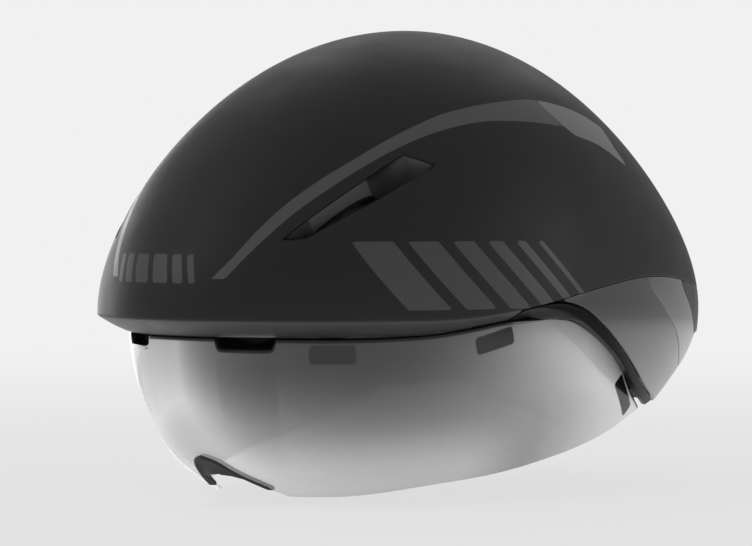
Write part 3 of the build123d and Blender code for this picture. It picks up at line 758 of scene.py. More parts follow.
def vent_finish(looks):
    recipe = grained("Vent fine grain", looks.vent_colour, 0.5, 0.05, 0.5, 0.01)
    # The shade mark paints light and shade on the vent: a darker copy with less gloss where shadow falls in
    # the pocket, the lit facet at full colour.
    dark = dimmed(looks.vent_colour, 0.2)
    recipe.feed("Base Color", recipe.blend(recipe.mark("shade"), dark, looks.vent_colour))
    recipe.feed("Specular IOR Level", recipe.ranged(recipe.mark("shade"), 0.1, 0.45))
    return recipe.material


def lens_finish(looks):
    recipe = Recipe("Shield smoked", looks.shell_colour, 0.12)
    # The pads mark makes the shield near black, opaque and without coat over the pads behind it, and as a
    # painted shadow along its upper edge under the bevel.
    pads = recipe.ranged(recipe.mark("pads"), 0.0, 1.0, -0.35, 0.35)
    # The tint mark runs from black to the shield's lightest grey: partly smoked tint, partly painted
    # reflection of the studio light.
    light = recipe.blend(recipe.mark("tint"), (0.0, 0.0, 0.0), looks.lens_colour)
    recipe.feed("Base Color", recipe.blend(pads, light, grey(26)))
    recipe.feed("Roughness", recipe.ranged(recipe.noise(24.0), 0.08, 0.14, 0.3, 0.7))
    recipe.feed("Alpha", recipe.reckon("MAXIMUM", recipe.mark("cover"), pads))
    recipe.feed("IOR", 1.5)
    recipe.feed("Coat Weight", recipe.ranged(pads, 0.5, 0.0))
    recipe.feed("Coat Roughness", 0.06)
    recipe.bump(recipe.noise(9.0, 1.0), 0.004)
    return recipe.material


def foam_finish(looks):
    recipe = grained("Foam beads", looks.foam_colour, 0.82, 0.05, 0.5, 0.02)
    beads = recipe.cells(3.2, "DISTANCE_TO_EDGE")
    seam = recipe.ranged(beads, 0.0, 1.0, 0.0, 0.09)
    recipe.feed("Base Color", recipe.blend(seam, dimmed(looks.foam_colour, 0.55), looks.foam_colour))
    recipe.bump(seam, 0.12)
    return recipe.material


def fabric_finish(looks):
    recipe = grained("Knitted pad cloth", looks.fabric_colour, 0.9, 0.04, 0.6, 0.02)
    knit = recipe.cells(0.9)
    shaded = recipe.ranged(knit, 0.0, 1.0, 0.1, 0.75)
    recipe.feed("Base Color", recipe.blend(shaded, looks.fabric_colour, dimmed(looks.fabric_colour, 0.5)))
    recipe.bump(recipe.ranged(knit, 1.0, 0.0, 0.0, 0.8), 0.12)
    recipe.feed("Sheen Weight", 0.35)
    recipe.feed("Sheen Roughness", 0.5)
    return recipe.material


def webbing_finish(looks):
    recipe = grained("Woven webbing", looks.web_colour, 0.75, 0.05, 0.5, 0.02)
    wave = recipe.reckon("SINE", recipe.reckon("MULTIPLY", recipe.mark("weave"), 3.4))
    ridge = recipe.ranged(wave, 0.0, 1.0, -1.0, 1.0)
    recipe.feed("Base Color", recipe.blend(ridge, dimmed(looks.web_colour, 0.5), looks.web_colour))
    recipe.bump(ridge, 0.1)
    recipe.feed("Sheen Weight", 0.2)
    return recipe.material


def metal_finish(name, colour, rough):
    recipe = grained(name, colour, rough, 0.05, 0.4, 0.004)
    recipe.feed("Metallic", 1.0)
    return recipe.material


# Plain plastics: name, colour setting or grey level, roughness and its spread, grain size and depth
plastics = {
    "bevel": ("Bevel satin black", "bevel_colour", 0.42, 0.05, 0.4, 0.006),
    "tail": ("Tail satin black", "shell_colour", 0.4, 0.05, 0.35, 0.006),
    "duct": ("Duct fine grain", "duct_colour", 0.5, 0.06, 0.5, 0.03),
    "rubber": ("Soft rubber", 22, 0.62, 0.05, 0.4, 0.015),
    "pads": ("Shield pad black", 20, 0.45, 0.05, 0.5, 0.01),
    "inner": ("Inner plastic", 38, 0.5, 0.06, 0.7, 0.02),
    "belts": ("Belt nylon", 62, 0.36, 0.06, 0.8, 0.01),
    "buckle": ("Buckle acetal", 38, 0.34, 0.05, 0.6, 0.01),
    "dial": ("Dial soft touch", 44, 0.6, 0.06, 0.4, 0.02),
}
metals = {
    "magnet": ("Magnet nickel", (0.6, 0.59, 0.57), 0.22),
    "screw": ("Screw steel", (0.52, 0.52, 0.53), 0.32),
}
makers = {
    "shell": shell_finish, "trim": trim_finish, "cover": cover_finish, "vent": vent_finish,
    "lens": lens_finish, "foam": foam_finish, "fabric": fabric_finish, "webbing": webbing_finish,
}
made_finishes = {}


def made_finish(name):
    looks = bpy.context.scene.helmet_looks
    if name in plastics:
        title, tone, *grain = plastics[name]
        return grained(title, getattr(looks, tone) if isinstance(tone, str) else grey(tone), *grain).material
    if name in metals:
        return metal_finish(*metals[name])
    return makers[name](looks)


def finish(name):
    """A finish of the helmet by its name, made once."""
    if name not in made_finishes:
        made_finishes[name] = made_finish(name)
    return made_finishes[name]


# Shell, with its vent slots and marks
def belt_angle(turn):
    """How far up the shell the crease runs at each turn."""
    angle = np.zeros_like(turn)
    for _ in range(12):
        along = shell_turned(turn, angle)[:, 1]
        height = belt_height(along) + seam_gap / 2.0
        angle = np.interp(height, ring_table[0], ring_angles)
    return angle


def vent_axes():
    """Centre of the left vent slot, and its directions along, up and out."""
    along = np.array(vent_along) / np.linalg.norm(vent_along)
    out = np.array(vent_out) / np.linalg.norm(vent_out)
    up = np.cross(out, along)
    centre = np.array(vent_place_share) * (half_width, front_reach, crown_height)
    return centre, along, up / np.linalg.norm(up), out


def vent_outline():
    size = np.array([vent_length, vent_height])
    upper = smooth_line(np.array(vent_upper_shares) * size, 40)
    lower = smooth_line(np.array(vent_lower_shares) * size, 50)
    return np.concatenate([upper, lower])[:-1]


def cut_vents(points, faces, roll):
    """Opens the slot on each side and fits the sheet's edge to its outline."""
    centre, along, up, out = vent_axes()
    outline = grown_outline(vent_outline(), vent_gap + roll)
    left = points.copy()
    left[:, 0] = np.abs(left[:, 0])
    away = left - centre
    flat = np.stack([away @ along, away @ up], axis=1)
    near = (np.abs(flat) < (vent_length, vent_length / 3.0)).all(1) & (away @ out > -vent_length / 3.0)
    kept, border, foot = cut_hole(flat, faces, outline, near)
    placed = centre + foot[:, :1] * along + foot[:, 1:] * up
    placed = dropped_on_shell(placed + (away[border] @ out)[:, None] * out, out)
    placed[:, 0] *= np.sign(points[border, 0])
    points[border] = placed
    return points, kept


def bar_depth(place, height, bars, levels, slant):
    """How far a point lies inside the nearest of the slanted bars."""
    low, high = levels
    run = place + slant * (height - low)
    depth = np.full(len(place), unmarked)
    for start, end in bars:
        depth = np.maximum(depth, np.minimum(run - start, end - run))
    return np.minimum(depth, np.minimum(height - low, high - height))


def shell_marks(turn, angle, points):
    """Signed depths of the stripe, its rear flash and the bars, per point."""
    signed = np.degrees(np.arctan2(np.sin(turn), np.cos(turn)))
    side = np.abs(signed)
    scale = np.array(stripe_scale)
    flat = np.stack([np.radians(side), angle / (math.pi / 2.0)], axis=1) * scale

    def scaled(shares):
        return np.array([(math.radians(place), share) for place, share in shares]) * scale

    top = smooth_line(scaled(stripe_top[:stripe_top_round]), 120)
    end = scaled(stripe_top[stripe_top_round - 1:])
    bottom = smooth_line(scaled(stripe_bottom[:stripe_bottom_round]), 110)
    foot = smooth_line(scaled(stripe_bottom[stripe_bottom_round:]), 20)
    outline = np.concatenate([top, end[1:], foot[::-1][1:], bottom[::-1]])
    stripe = np.full(len(turn), unmarked)
    low, high = np.array(stripe_rise_limits) * stripe_scale[1]
    near = (side < stripe_turn_limit) & (flat[:, 1] > low) & (flat[:, 1] < high)
    for part in np.array_split(np.nonzero(near)[0], 12):
        stripe[part] = inside_by(flat[part], outline)[0]
    seam = scaled(flash_seam)
    run = (seam[1] - seam[0]) / np.linalg.norm(seam[1] - seam[0])
    beyond = (flat - seam[0]) @ np.array([-run[1], run[0]])
    flash = np.minimum(stripe, beyond - flash_gap)
    stripe = np.where(np.abs(beyond) < flash_gap, -flash_gap / 2.0, stripe)
    height = points[:, 2]
    place = flat[:, 0] - side_bars_from
    side_mark = bar_depth(place, height, side_bars, side_bars_levels, side_bars_slant)
    place = np.radians(signed) * front_reach - brow_bars_from
    brow_mark = bar_depth(place, height, brow_bars, brow_bars_levels, brow_bars_slant)
    return {"stripe": stripe, "flash": flash, "bars": np.maximum(side_mark, brow_mark)}


class HELMET_OT_shell(bpy.types.Operator):
    """Smooth shell with its side stripes and vent slots"""
    bl_idname = "helmet.shell"
    bl_label = "Shell"

    def execute(self, context):
        sizes = context.scene.helmet_sizes
        turn = np.linspace(0.0, 2.0 * math.pi, sizes.shell_columns, endpoint=False)
        low = belt_angle(turn)
        rows = np.linspace(0.0, 1.0, sizes.shell_rows)[:-1]
        angle = low[None] + rows[:, None] * (math.pi / 2.0 - low[None])
        turns = np.repeat(turn[None], len(rows), axis=0)
        points = shell_turned(turns, angle).reshape(-1, 3)
        points = np.concatenate([points, [[0.0, crown_setback, crown_height]]])
        faces = grid_faces(len(rows), len(turn), closed=True)
        last = (len(rows) - 1) * len(turn) + np.arange(len(turn))
        top = np.full(len(turn), len(points) - 1)
        faces = np.concatenate([faces, np.stack([last, np.roll(last, -1), top, top], axis=1)])
        all_turns = np.concatenate([turns.ravel(), [0.0]])
        all_angles = np.concatenate([angle.ravel(), [math.pi / 2.0]])
        marks = shell_marks(all_turns, all_angles, points)
        points, faces = cut_vents(points, faces, sizes.shell_lip)
        points, faces, used = packed(points, faces)
        solid, built, source = thicken(points, faces, skin_wall, sizes.shell_lip)
        inner = inner_side(solid, len(points))
        marks = {mark: np.where(inner, unmarked, values[used][source]) for mark, values in marks.items()}
        add_piece("shell", solid, built, finish("shell"), "helmet", ["outer_shell"], marks)
        return {"FINISHED"}


class HELMET_OT_brow(bpy.types.Operator):
    """Bevel under the crease at the brow"""
    bl_idname = "helmet.brow"
    bl_label = "Brow band"

    def execute(self, context):
        widest = math.acos(-bevel_end / front_reach)
        turns = np.linspace(-widest, widest, bevel_columns)
        crease = plan_point(turns, belt_height(-front_reach * np.cos(turns)) - seam_gap / 2.0, 0.0)
        foot = plan_point(turns, bevel_height(-(front_reach - bevel_inset) * np.cos(turns)), bevel_inset)
        run = foot - crease
        flat = unit(run * np.array([1.0, 1.0, 0.0]))
        swell = unit(np.cross(run, np.cross(run, flat)))
        swell *= -np.sign(swell[:, 2:])
        lines = [crease + run * share + swell * lift for share, lift in bevel_swell]
        lines += [foot + np.array([0.0, 0.0, bevel_wall]), crease + flat * bevel_lip,
                  crease + flat * bevel_tuck[0] - swell * bevel_tuck[1]]
        points, faces = swept(np.stack(lines, axis=1))
        add_piece("brow_bevel", points, faces, finish("bevel"), "helmet", ["brow_band"])
        return {"FINISHED"}


def plan_point(turn, height, inset):
    """A point inside the shell's front at a turn and a height."""
    wide, front, _, centre = ring_at(height)
    return np.stack([(wide - inset) * np.sin(turn), centre - (front - inset) * np.cos(turn), height], axis=-1)


# Ear covers and tail
def belt_line(lift):
    along = np.linspace(belt_line_start, rear_reach, line_points)
    return np.stack([along, belt_height(along) + lift], axis=1)


def cover_lines():
    """Belt, tail line, and the seams between the covers, all in the side view."""
    half = seam_gap / 2.0
    belt = belt_line(-half)
    trim = ear_line(trim_upper_shares, trim_seam)
    others = (ear_line(tail_line_shares), trim, ear_line(panel_seam_shares), ear_line(tail_seam_shares))
    return belt, *[smooth_line(line, line_points) for line in others]


def between(line, other_low, other_high):
    """The stretch of a line between its meetings with two others."""
    first = meeting(line, other_low)[0]
    last = meeting(line, other_high)[0]
    return line[first:last + 1] if first < last else line[last:first + 1][::-1]


def add_covers(kind, borders, size, lip, fading):
    """A glossy cover on each side, between its bottom, top, start and end lines."""
    columns, rows = size
    counts = (columns, columns, rows, rows)
    grid = patch_between(*[even_line(line, count) for line, count in zip(borders, counts)])
    points = shell_beside(grid[..., 0], grid[..., 1]).reshape(-1, 3)
    solid, built, _ = thicken(points, grid_faces(rows, columns), skin_wall, lip)
    fade = np.clip((fading[0] - solid[:, 2]) / fading[1], 0.0, 1.0)
    add_pair(f"{kind}_cover", solid, built, "cover", f"{kind}_panel", {"fade": fade})


class HELMET_OT_covers(bpy.types.Operator):
    """Glossy ear and rear covers behind the shield"""
    bl_idname = "helmet.covers"
    bl_label = "Covers"

    def execute(self, context):
        lip = context.scene.helmet_sizes.cover_lip
        belt, tail, trim, seam, back = cover_lines()
        gap = np.interp(trim[:, 0], belt[:, 0], belt[:, 1]) - trim[:, 1]
        first = int(np.argmax(gap > cover_least_height))
        tip = trim[first]
        front_seam = seam - (seam_gap / 2.0 + lip, 0.0)
        low = between(tail, tail[:1], front_seam)
        bottom = np.concatenate([trim[first:], low + (0.0, lip)])
        end = between(front_seam, tail, belt)
        bottom = np.concatenate([bottom[:-1], end[:1]])
        top_from = int(np.argmin(np.abs(belt[:, 0] - tip[0])))
        top_to = meeting(belt, front_seam)[0]
        top = belt[top_from:top_to + 1] - (0.0, lip)
        top = np.concatenate([top[:-1], end[-1:]])
        start = np.array([bottom[0], top[0]])
        add_covers("ear", (bottom, top, start, end), ear_grid, lip, ear_fade)
        rear_seam = seam + (seam_gap / 2.0 + lip, 0.0)
        front_back = back - (seam_gap / 2.0 + lip, 0.0)
        bottom = between(tail, rear_seam, front_back) + (0.0, lip)
        top = between(belt, rear_seam, front_back) - (0.0, lip)
        start = between(rear_seam, bottom, top)
        end = between(front_back, bottom, top)
        start = np.concatenate([bottom[:1], start[1:-1], top[:1]])
        end = np.concatenate([bottom[-1:], end[1:-1], top[-1:]])
        add_covers("rear", (bottom, top, start, end), rear_grid, lip, rear_fade)
        return {"FINISHED"}


def exhaust_outline(grow):
    half = np.array([exhaust_width, exhaust_height]) / 2.0
    corner = half - exhaust_corner
    turns = np.linspace(0.0, 2.0 * math.pi, 64, endpoint=False)
    round_part = np.stack([np.cos(turns), np.sin(turns)], axis=1)
    line = np.sign(round_part) * corner + round_part * (exhaust_corner + grow)
    return line + (exhaust_inner + exhaust_width / 2.0, -exhaust_drop)


class HELMET_OT_tail(bpy.types.Operator):
    """Lower rear wall with its two exhaust ports"""
    bl_idname = "helmet.tail"
    bl_label = "Tail"

    def execute(self, context):
        lip = context.scene.helmet_sizes.cover_lip
        belt, tail, _, _, back = cover_lines()
        seam = back + (seam_gap / 2.0 + lip, 0.0)
        low = np.interp(seam[:, 0], tail[:, 0], tail[:, 1]) + lip
        high = np.interp(seam[:, 0], belt[:, 0], belt[:, 1]) - lip
        share = (seam[:, 1] - low) / (high - low)
        order = np.argsort(share)
        rows = np.linspace(0.0, 1.0, tail_grid[1])
        start = np.stack([np.interp(rows, share[order], seam[order, axis]) for axis in (0, 1)], axis=1)
        side = shell_beside(start[:, 0], start[:, 1])
        wide, _, rear, centre = ring_at(start[:, 1])
        first = np.arctan2(side[:, 0] / wide, -(side[:, 1] - centre) / rear)
        columns = np.linspace(0.0, 1.0, tail_grid[0])
        turn = first[:, None] + (2.0 * math.pi - 2.0 * first[:, None]) * columns[None]
        height = np.repeat(start[:, 1:], len(columns), axis=1)
        for _ in range(12):
            wide, _, rear, centre = ring_at(height)
            along = centre - rear * np.cos(turn)
            base = np.interp(along, tail[:, 0], tail[:, 1]) + lip
            roof = np.interp(along, belt[:, 0], belt[:, 1]) - lip
            height = base + rows[:, None] * (roof - base)
        wide, _, rear, centre = ring_at(height)
        points = np.stack([wide * np.sin(turn), centre - rear * np.cos(turn), height], axis=-1).reshape(-1, 3)
        faces = grid_faces(len(rows), len(columns))
        outline = exhaust_outline(vent_gap + lip)
        flat = np.stack([np.abs(points[:, 0]), points[:, 2]], axis=1)
        kept, border, foot = cut_hole(flat, faces, outline, np.ones(len(flat), bool))
        wide, _, rear, centre = ring_at(foot[:, 1])
        along = centre + rear * np.sqrt(1.0 - (foot[:, 0] / wide) ** 2)
        points[border] = np.stack([np.sign(points[border, 0]) * foot[:, 0], along, foot[:, 1]], axis=1)
        points, faces, _ = packed(points, kept)
        solid, built, _ = thicken(points, faces, skin_wall, lip)
        add_piece("tail", solid, built, finish("tail"), "helmet", ["tail_shell"])
        return {"FINISHED"}


class HELMET_OT_trims(bpy.types.Operator):
    """Rolled black edge of each ear cover"""
    bl_idname = "helmet.trims"
    bl_label = "Ear trims"

    def execute(self, context):
        lower = smooth_line(ear_line(trim_lower_shares), trim_columns)
        upper = smooth_line(ear_line(trim_upper_shares), trim_columns)
        place = np.linspace(0.0, 1.0, len(trim_depth_shares))
        fine = np.linspace(0.0, 1.0, trim_columns)
        depth = trim_depth * smooth_value(fine, list(zip(place, trim_depth_shares)))[:, None]
        turn = trim_depth * smooth_value(fine, list(zip(place, trim_turn_shares)))[:, None]
        low = shell_beside(lower[:, 0], lower[:, 1])
        high = shell_beside(upper[:, 0], upper[:, 1])
        wide, front, rear, centre = ring_at(lower[:, 1])
        reach = np.where(lower[:, 0] > centre, rear, front)
        slope = (-low[:, 0] / wide ** 2, -(low[:, 1] - centre) / reach ** 2, 0.0 * centre)
        inward, rise = unit(np.stack(slope, axis=1)), unit(high - low)
        corners = [high + inward * depth, low + inward * depth + rise * turn, low, high]
        lines = []
        for index in range(4):
            here, after, before = corners[index], corners[(index + 1) % 4], corners[index - 1]
            for share in (0.0, 0.34, 0.68, 1.0):
                entry = here + (before - here) * trim_round_share
                leave = here + (after - here) * trim_round_share
                lines.append((1 - share) ** 2 * entry + 2 * share * (1 - share) * here + share ** 2 * leave)
            lines.append((here + after) / 2.0)
        points, faces = swept(np.stack(lines, axis=1)[:, ::-1])
        add_pair("ear_roll", points, faces, "trim", "ear_trim")
        return {"FINISHED"}


def vent_grid(columns, rows):
    """Places, heights, depths and painted light-and-shade tones over the side vent, and the faces round its
    hole.
    """
    outline = vent_outline() / (vent_length, vent_height)
    tip = int(np.argmin(outline[:, 0]))
    right = int(np.argmax(outline[:, 0]))
    order = np.argsort(outline[:, 0])
    middle = np.interp(outline[:, 0], outline[[tip, right], 0], outline[[tip, right], 1])
    above = order[outline[order, 1] >= middle[order]]
    below = order[outline[order, 1] <= middle[order]]
    share = (1.0 - np.cos(math.pi * np.linspace(*vent_columns_span, columns))) / 2.0
    along = outline[tip, 0] + share * (outline[right, 0] - outline[tip, 0])
    top = np.interp(along, outline[above, 0], outline[above, 1]) * vent_height
    base = np.interp(along, outline[below, 0], outline[below, 1]) * vent_height
    hole = smooth_value(share, vent_hole_shares) * (top - base)
    lip = np.minimum(vent_lip, vent_lip_share * (top - base))
    low = base + lip
    opened = (share > vent_hole_shares[0][0]) & (share < vent_hole_shares[-1][0])
    upper = low + np.where(opened, np.maximum(hole - lip, vent_least_hole), vent_closed_share * (top - low))
    climb = np.linspace(0.0, 1.0, rows)[:, None]
    across = np.concatenate([base[None], low[None], upper[None] + climb * (top - upper)[None]])
    rise = np.clip((across - base) / (top - base), 0.0, 1.0)
    fall = smooth_value(share, vent_floor_shares)
    bend = smooth_value(share, vent_floor_shares, 2)
    depth = vent_step + fall * (1.0 - rise) ** bend
    depth[:2] = np.where(opened, vent_lip_depth, depth[:2])
    # Painted light and shade over the vent, from the floor table, lit towards the upper rear.
    tone = np.repeat(smooth_value(share, vent_floor_shares, 3)[None], len(across), axis=0)
    tone = tone + (1.0 - tone) * smooth_step(rise, *vent_painted_light_rise) * smooth_step(share, *vent_painted_light_along)
    # The lip rows round the open hole get painted shade, black.
    tone[:2] = np.where(opened, 0.0, tone[:2])
    faces = grid_faces(len(across), columns).reshape(-1, columns - 1, 4)
    kept = np.ones(faces.shape[:2], bool)
    kept[1] = ~(opened[:-1] & opened[1:])
    return np.repeat(along[None] * vent_length, len(across), axis=0), across, depth, tone, faces[kept]


class HELMET_OT_ducts(bpy.types.Operator):
    """Side vents and exhaust grilles"""
    bl_idname = "helmet.ducts"
    bl_label = "Ducts"

    def execute(self, context):
        centre, along, up, out = vent_axes()
        place, height, depth, tone, faces = vent_grid(*vent_grid_size)
        flat = centre + place[..., None] * along + height[..., None] * up
        skin = dropped_on_shell(flat.reshape(-1, 3), out)
        top = skin - depth.reshape(-1, 1) * out
        points, built = walled(top, skin - vent_reach * out, faces)
        # The shade mark carries the painted light and shade of the vent's floor, and none on its back.
        marks = {"shade": np.concatenate([tone.ravel(), 0.0 * tone.ravel()])}
        for piece in add_pair("side_vent", points, built, "vent", "vent_insert", marks):
            ease_edges(piece, vent_ease)
        dress(pair("exhaust_grille"), finish("duct"), 0.35)
        return {"FINISHED"}


# Shield
def lens_point(place, height):
    """A point of the shield: place 0 is the front, 1 the side and 2 the back."""
    depth = -height / lens_depth
    wide, front, rear, nose = [smooth_value(depth, lens_level_shares, column) for column in (1, 2, 3, 4)]
    wide, front, rear = wide * lens_half_width, front * lens_front, rear * lens_rear
    share = np.clip(np.abs(place), 0.0, 1.0)
    left = 1.0 - share
    ahead_x = wide * (3 * left ** 2 * share * nose + 3 * left * share ** 2 + share ** 3)
    ahead_y = -front * (left ** 3 + 3 * left ** 2 * share + 3 * left * share ** 2 * nose)
    share = np.clip(np.abs(place) - 1.0, 0.0, 1.0)
    left = 1.0 - share
    behind_x = wide * (left ** 3 + 3 * left ** 2 * share + 3 * left * share ** 2 * round_share)
    behind_y = rear * (3 * left ** 2 * share * round_share + 3 * left * share ** 2 + share ** 3)
    behind = np.abs(place) > 1.0
    across = np.where(behind, behind_x, ahead_x) * np.sign(place)
    return np.stack([across, np.where(behind, behind_y, ahead_y), height + 0.0 * place], axis=-1)


def lens_top(points):
    """Height of the shield's upper edge at each point."""
    places = (lens_foremost, bevel_stations[0], bevel_stations[0] + lens_lead)
    lead = [(along, bevel_height(along) - lens_gap) for along in places]
    top = smooth_value(points[:, 1], lead + ear_line(lens_edge_shares))
    offset = np.abs((np.abs(points[:, 0]) - notch_offset) / notch_half)
    notch = np.clip(1.0 - offset ** 8, 0.0, 1.0) ** 0.2
    return top - np.where(points[:, 1] < 0.0, notch_depth * notch, 0.0)


def lens_bottom(points):
    """Height of the shield's lower edge at each point, with the nose arch."""
    lead = [(lens_foremost, lens_low_shares[0][1] * ear_drop)]
    low = smooth_value(points[:, 1], lead + ear_line(lens_low_shares))
    aside = np.abs(points[:, 0])
    arch = nose_height * smooth_value(aside / nose_half_width, nose_arch_shares) - lens_depth
    arch = np.where(aside < nose_arch_shares[-1][0] * nose_half_width, arch, -2.0 * lens_depth)
    return np.maximum(low, np.where(points[:, 1] < 0.0, arch, low))


def pad_depth(points):
    """How far a shield point lies over one of the pads behind it."""
    best = np.full(len(points), unmarked)
    left = np.abs(points[:, 0])
    for place, face, slant in zip(pad_place_shares, pad_faces, pad_slants):
        centre = np.array(place) * (lens_half_width, lens_rear if place[1] > 0 else lens_front, lens_depth)
        across = (left - centre[0]) * -face[1] + (points[:, 1] - centre[1]) * face[0]
        up = points[:, 2] - centre[2]
        turn = math.radians(slant)
        along = across * math.cos(turn) + up * math.sin(turn)
        rise = up * math.cos(turn) - across * math.sin(turn)
        over = np.abs([along, rise]) - np.array([[pad_length], [pad_height]]) / 2.0 + pad_corner
        outside = np.linalg.norm(np.maximum(over, 0.0), axis=0) + np.minimum(over.max(axis=0), 0.0)
        apart = np.abs((left - centre[0]) * face[0] + (points[:, 1] - centre[1]) * face[1])
        best = np.maximum(best, np.where(apart < pad_reach, pad_corner - outside, unmarked))
    return best


# Grading of the shield: light at the front centre, darkest high on each side, light again at the rear. It is
# partly the smoked tint and partly painted reflection of the studio light.
# Each edge has its darkest tone, then a rise to the front and one to the rear, both with their degrees.
lens_top_tones = (0.14, 0.52, 9.0, 0.70, (35.0, 120.0))
lens_low_tones = (0.45, 0.36, 22.0, 0.31, (70.0, 135.0))
lens_fade_shares = (0.05, 0.85)
lens_lift = 1.8
lens_most_tint = 0.95
# How far the shield covers what is behind it, and how much less low at the front
lens_whole_share = 0.985
lens_clear_share = 0.42
lens_clear_turns = (62.0, 92.0)
# Width of a painted shadow along the shield's upper edge, for the gap under the bevel
lens_gap_shadow_band = 0.8
# Degrees that the painted reflection at the light front reaches further on the right side than on the left
lens_painted_glow_reach = 15.0
# Heights between which the inner side turns dark, and its tint there
lens_inner_band = (-27.0, -22.0)
lens_inner_tint = 0.004


def lens_tint_and_reflection(turn, dark, front_rise, front_fall, rear_rise, rear_turns):
    """Lightness along one edge of the shield, by degrees round from the front: smoked tint with painted
    reflection.
    """
    return dark + front_rise * np.exp(-turn / front_fall) + rear_rise * smooth_step(turn, *rear_turns)


class HELMET_OT_shield(bpy.types.Operator):
    """Smoked shield, graded from dark at the top to light at the bottom, with painted reflection of the
    studio light round its sides
    """
    bl_idname = "helmet.shield"
    bl_label = "Shield"

    def execute(self, context):
        sizes = context.scene.helmet_sizes
        trial = np.linspace(0.0, 1.9, 3000)
        line = lens_point(trial, np.full(len(trial), lens_tip_height))
        last = int(np.argmax(line[:, 1] > lens_edge_shares[-1][0] * ear_length - lens_tip_gap))
        length = np.concatenate([[0.0], np.cumsum(np.linalg.norm(np.diff(line[:last + 1], axis=0), axis=1))])
        half = np.interp(np.linspace(0.0, length[-1], sizes.lens_columns), length, trial[:last + 1])
        place = np.concatenate([-half[:0:-1], half])
        low, high = [np.full(len(place), level) for level in lens_start_levels]
        for _ in range(12):
            low = lens_bottom(lens_point(place, low))
            high = lens_top(lens_point(place, high))
        middle = (low + high) / 2.0
        low, high = np.minimum(low, middle - lens_least_half), np.maximum(high, middle + lens_least_half)
        rows = np.linspace(0.0, 1.0, sizes.lens_rows)[:, None]
        height = low[None] + rows * (high - low)[None]
        points = lens_point(np.repeat(place[None], len(rows), axis=0).ravel(), height.ravel())
        faces = grid_faces(len(rows), len(place))
        down = 1.0 - np.repeat(rows, len(place), axis=1).ravel()
        turn = np.degrees(np.arctan2(points[:, 0], -points[:, 1]))
        # The right side's turns are cut short, so its painted reflection at the front reaches further round.
        turn = np.where(turn < 0.0, np.maximum(-turn - lens_painted_glow_reach, 0.0), turn)
        # Lightness by turn and height: the smoked tint with a painted reflection of the studio light.
        top_tone, low_tone = lens_tint_and_reflection(turn, *lens_top_tones), lens_tint_and_reflection(turn, *lens_low_tones)
        tone = top_tone + (low_tone - top_tone) * smooth_step(down, *lens_fade_shares)
        tint = np.minimum(lens_lift * linear(tone), lens_most_tint)
        clear = lens_clear_share * smooth_step(down, 0.5, 1.0) * (1.0 - smooth_step(turn, *lens_clear_turns))
        cover = 1.0 - np.sqrt(1.0 - (lens_whole_share - clear))
        # The pads mark darkens the shield over the black pads behind it, and paints shadow along its upper
        # edge in the gap under the bevel.
        pads = np.maximum(pad_depth(points), lens_gap_shadow_band - (lens_top(points) - points[:, 2]))
        solid, built, source = thicken(points, faces, lens_wall, lens_roll)
        band = smooth_step(points[:, 2], *lens_inner_band)[source] * inner_side(solid, len(points))
        tint, cover = tint[source], cover[source]
        marks = {"tint": tint + (lens_inner_tint - tint) * band, "cover": cover + (1.0 - cover) * band,
                 "pads": pads[source]}
        add_piece("shield", solid, built, finish("lens"), "shield", ["shield_lens"], marks)
        return {"FINISHED"}


class HELMET_OT_shield_parts(bpy.types.Operator):
    """Nose trim, pads, docks and magnets of the shield"""
    bl_idname = "helmet.shield_parts"
    bl_label = "Shield parts"

    def add_nose(self):
        """Rolled trim on the nose arch, with a soft web behind it."""
        trial = np.linspace(-0.6, 0.6, 1200)
        height = np.full(len(trial), nose_height - lens_depth)
        for _ in range(12):
            height = lens_bottom(lens_point(trial, height))
        edge = lens_point(trial, height)
        near = np.abs(edge[:, 0]) < nose_trim_half
        line = even_line(edge[near], nose_trim_columns)
        slope = (line[:, 0] / lens_half_width ** 2, line[:, 1] / lens_front ** 2, 0.0 * line[:, 0])
        face = unit(np.stack(slope, axis=1))
        rise = unit(np.cross(np.gradient(line, axis=0), face))
        rise *= np.sign(rise[:, 2:])
        step = np.arange(nose_trim_columns)
        end = np.minimum(step, step[::-1]) / nose_trim_end_steps
        round_end = np.sqrt(np.clip(1.0 - (1.0 - np.minimum(end, 1.0)) ** 2, 0.03, 1.0))[:, None]
        turns = np.linspace(0.0, 2.0 * math.pi, 24, endpoint=False)
        lines = []
        for turn in turns:
            deep = drawn_out(math.cos(turn)) * nose_trim_wall / 2.0
            tall = drawn_out(math.sin(turn)) * nose_trim_height / 2.0
            out = face * (deep * round_end - lens_wall / 2.0)
            lines.append(line + out + rise * (tall * round_end + nose_trim_lift))
        points, faces = swept(np.stack(lines, axis=1))
        columns, rows = nose_web_grid
        across = np.linspace(-1.0, 1.0, columns)
        reach = np.linspace(0.0, 1.0, rows)[:, None]
        base = np.stack([np.interp(across * nose_web_half, edge[:, 0], column) for column in edge.T], axis=1)
        back = reach * nose_web_reach * (1.0 - nose_web_tapers[0] * across[None] ** 2)
        drop = nose_web_drop * reach ** 1.5 * (1.0 - nose_web_tapers[1] * across[None] ** 2)
        web = base[None] + np.stack([0.0 * back, lens_wall / 2.0 + back, -drop], axis=-1)
        web = web.reshape(-1, 3)
        sheet, built, _ = thicken(web, grid_faces(rows, columns), nose_web_wall, nose_web_roll)
        faces = faces + [tuple(index + len(points) for index in face) for face in built.tolist()]
        points = np.concatenate([points, sheet])
        add_piece("nose_roll", points, faces, finish("rubber"), "shield", ["nose_trim"])

    def execute(self, context):
        self.add_nose()
        dress(pair("brow_shield_pad", "temple_shield_pad", "ear_shield_pad"), finish("pads"), 0.5)
        dress(pair("brow_dock", "temple_dock", "ear_dock"), finish("inner"), 0.5)
        dress(["helmet_magnets", "shield_magnets"], finish("magnet"), 0.2)
        return {"FINISHED"}


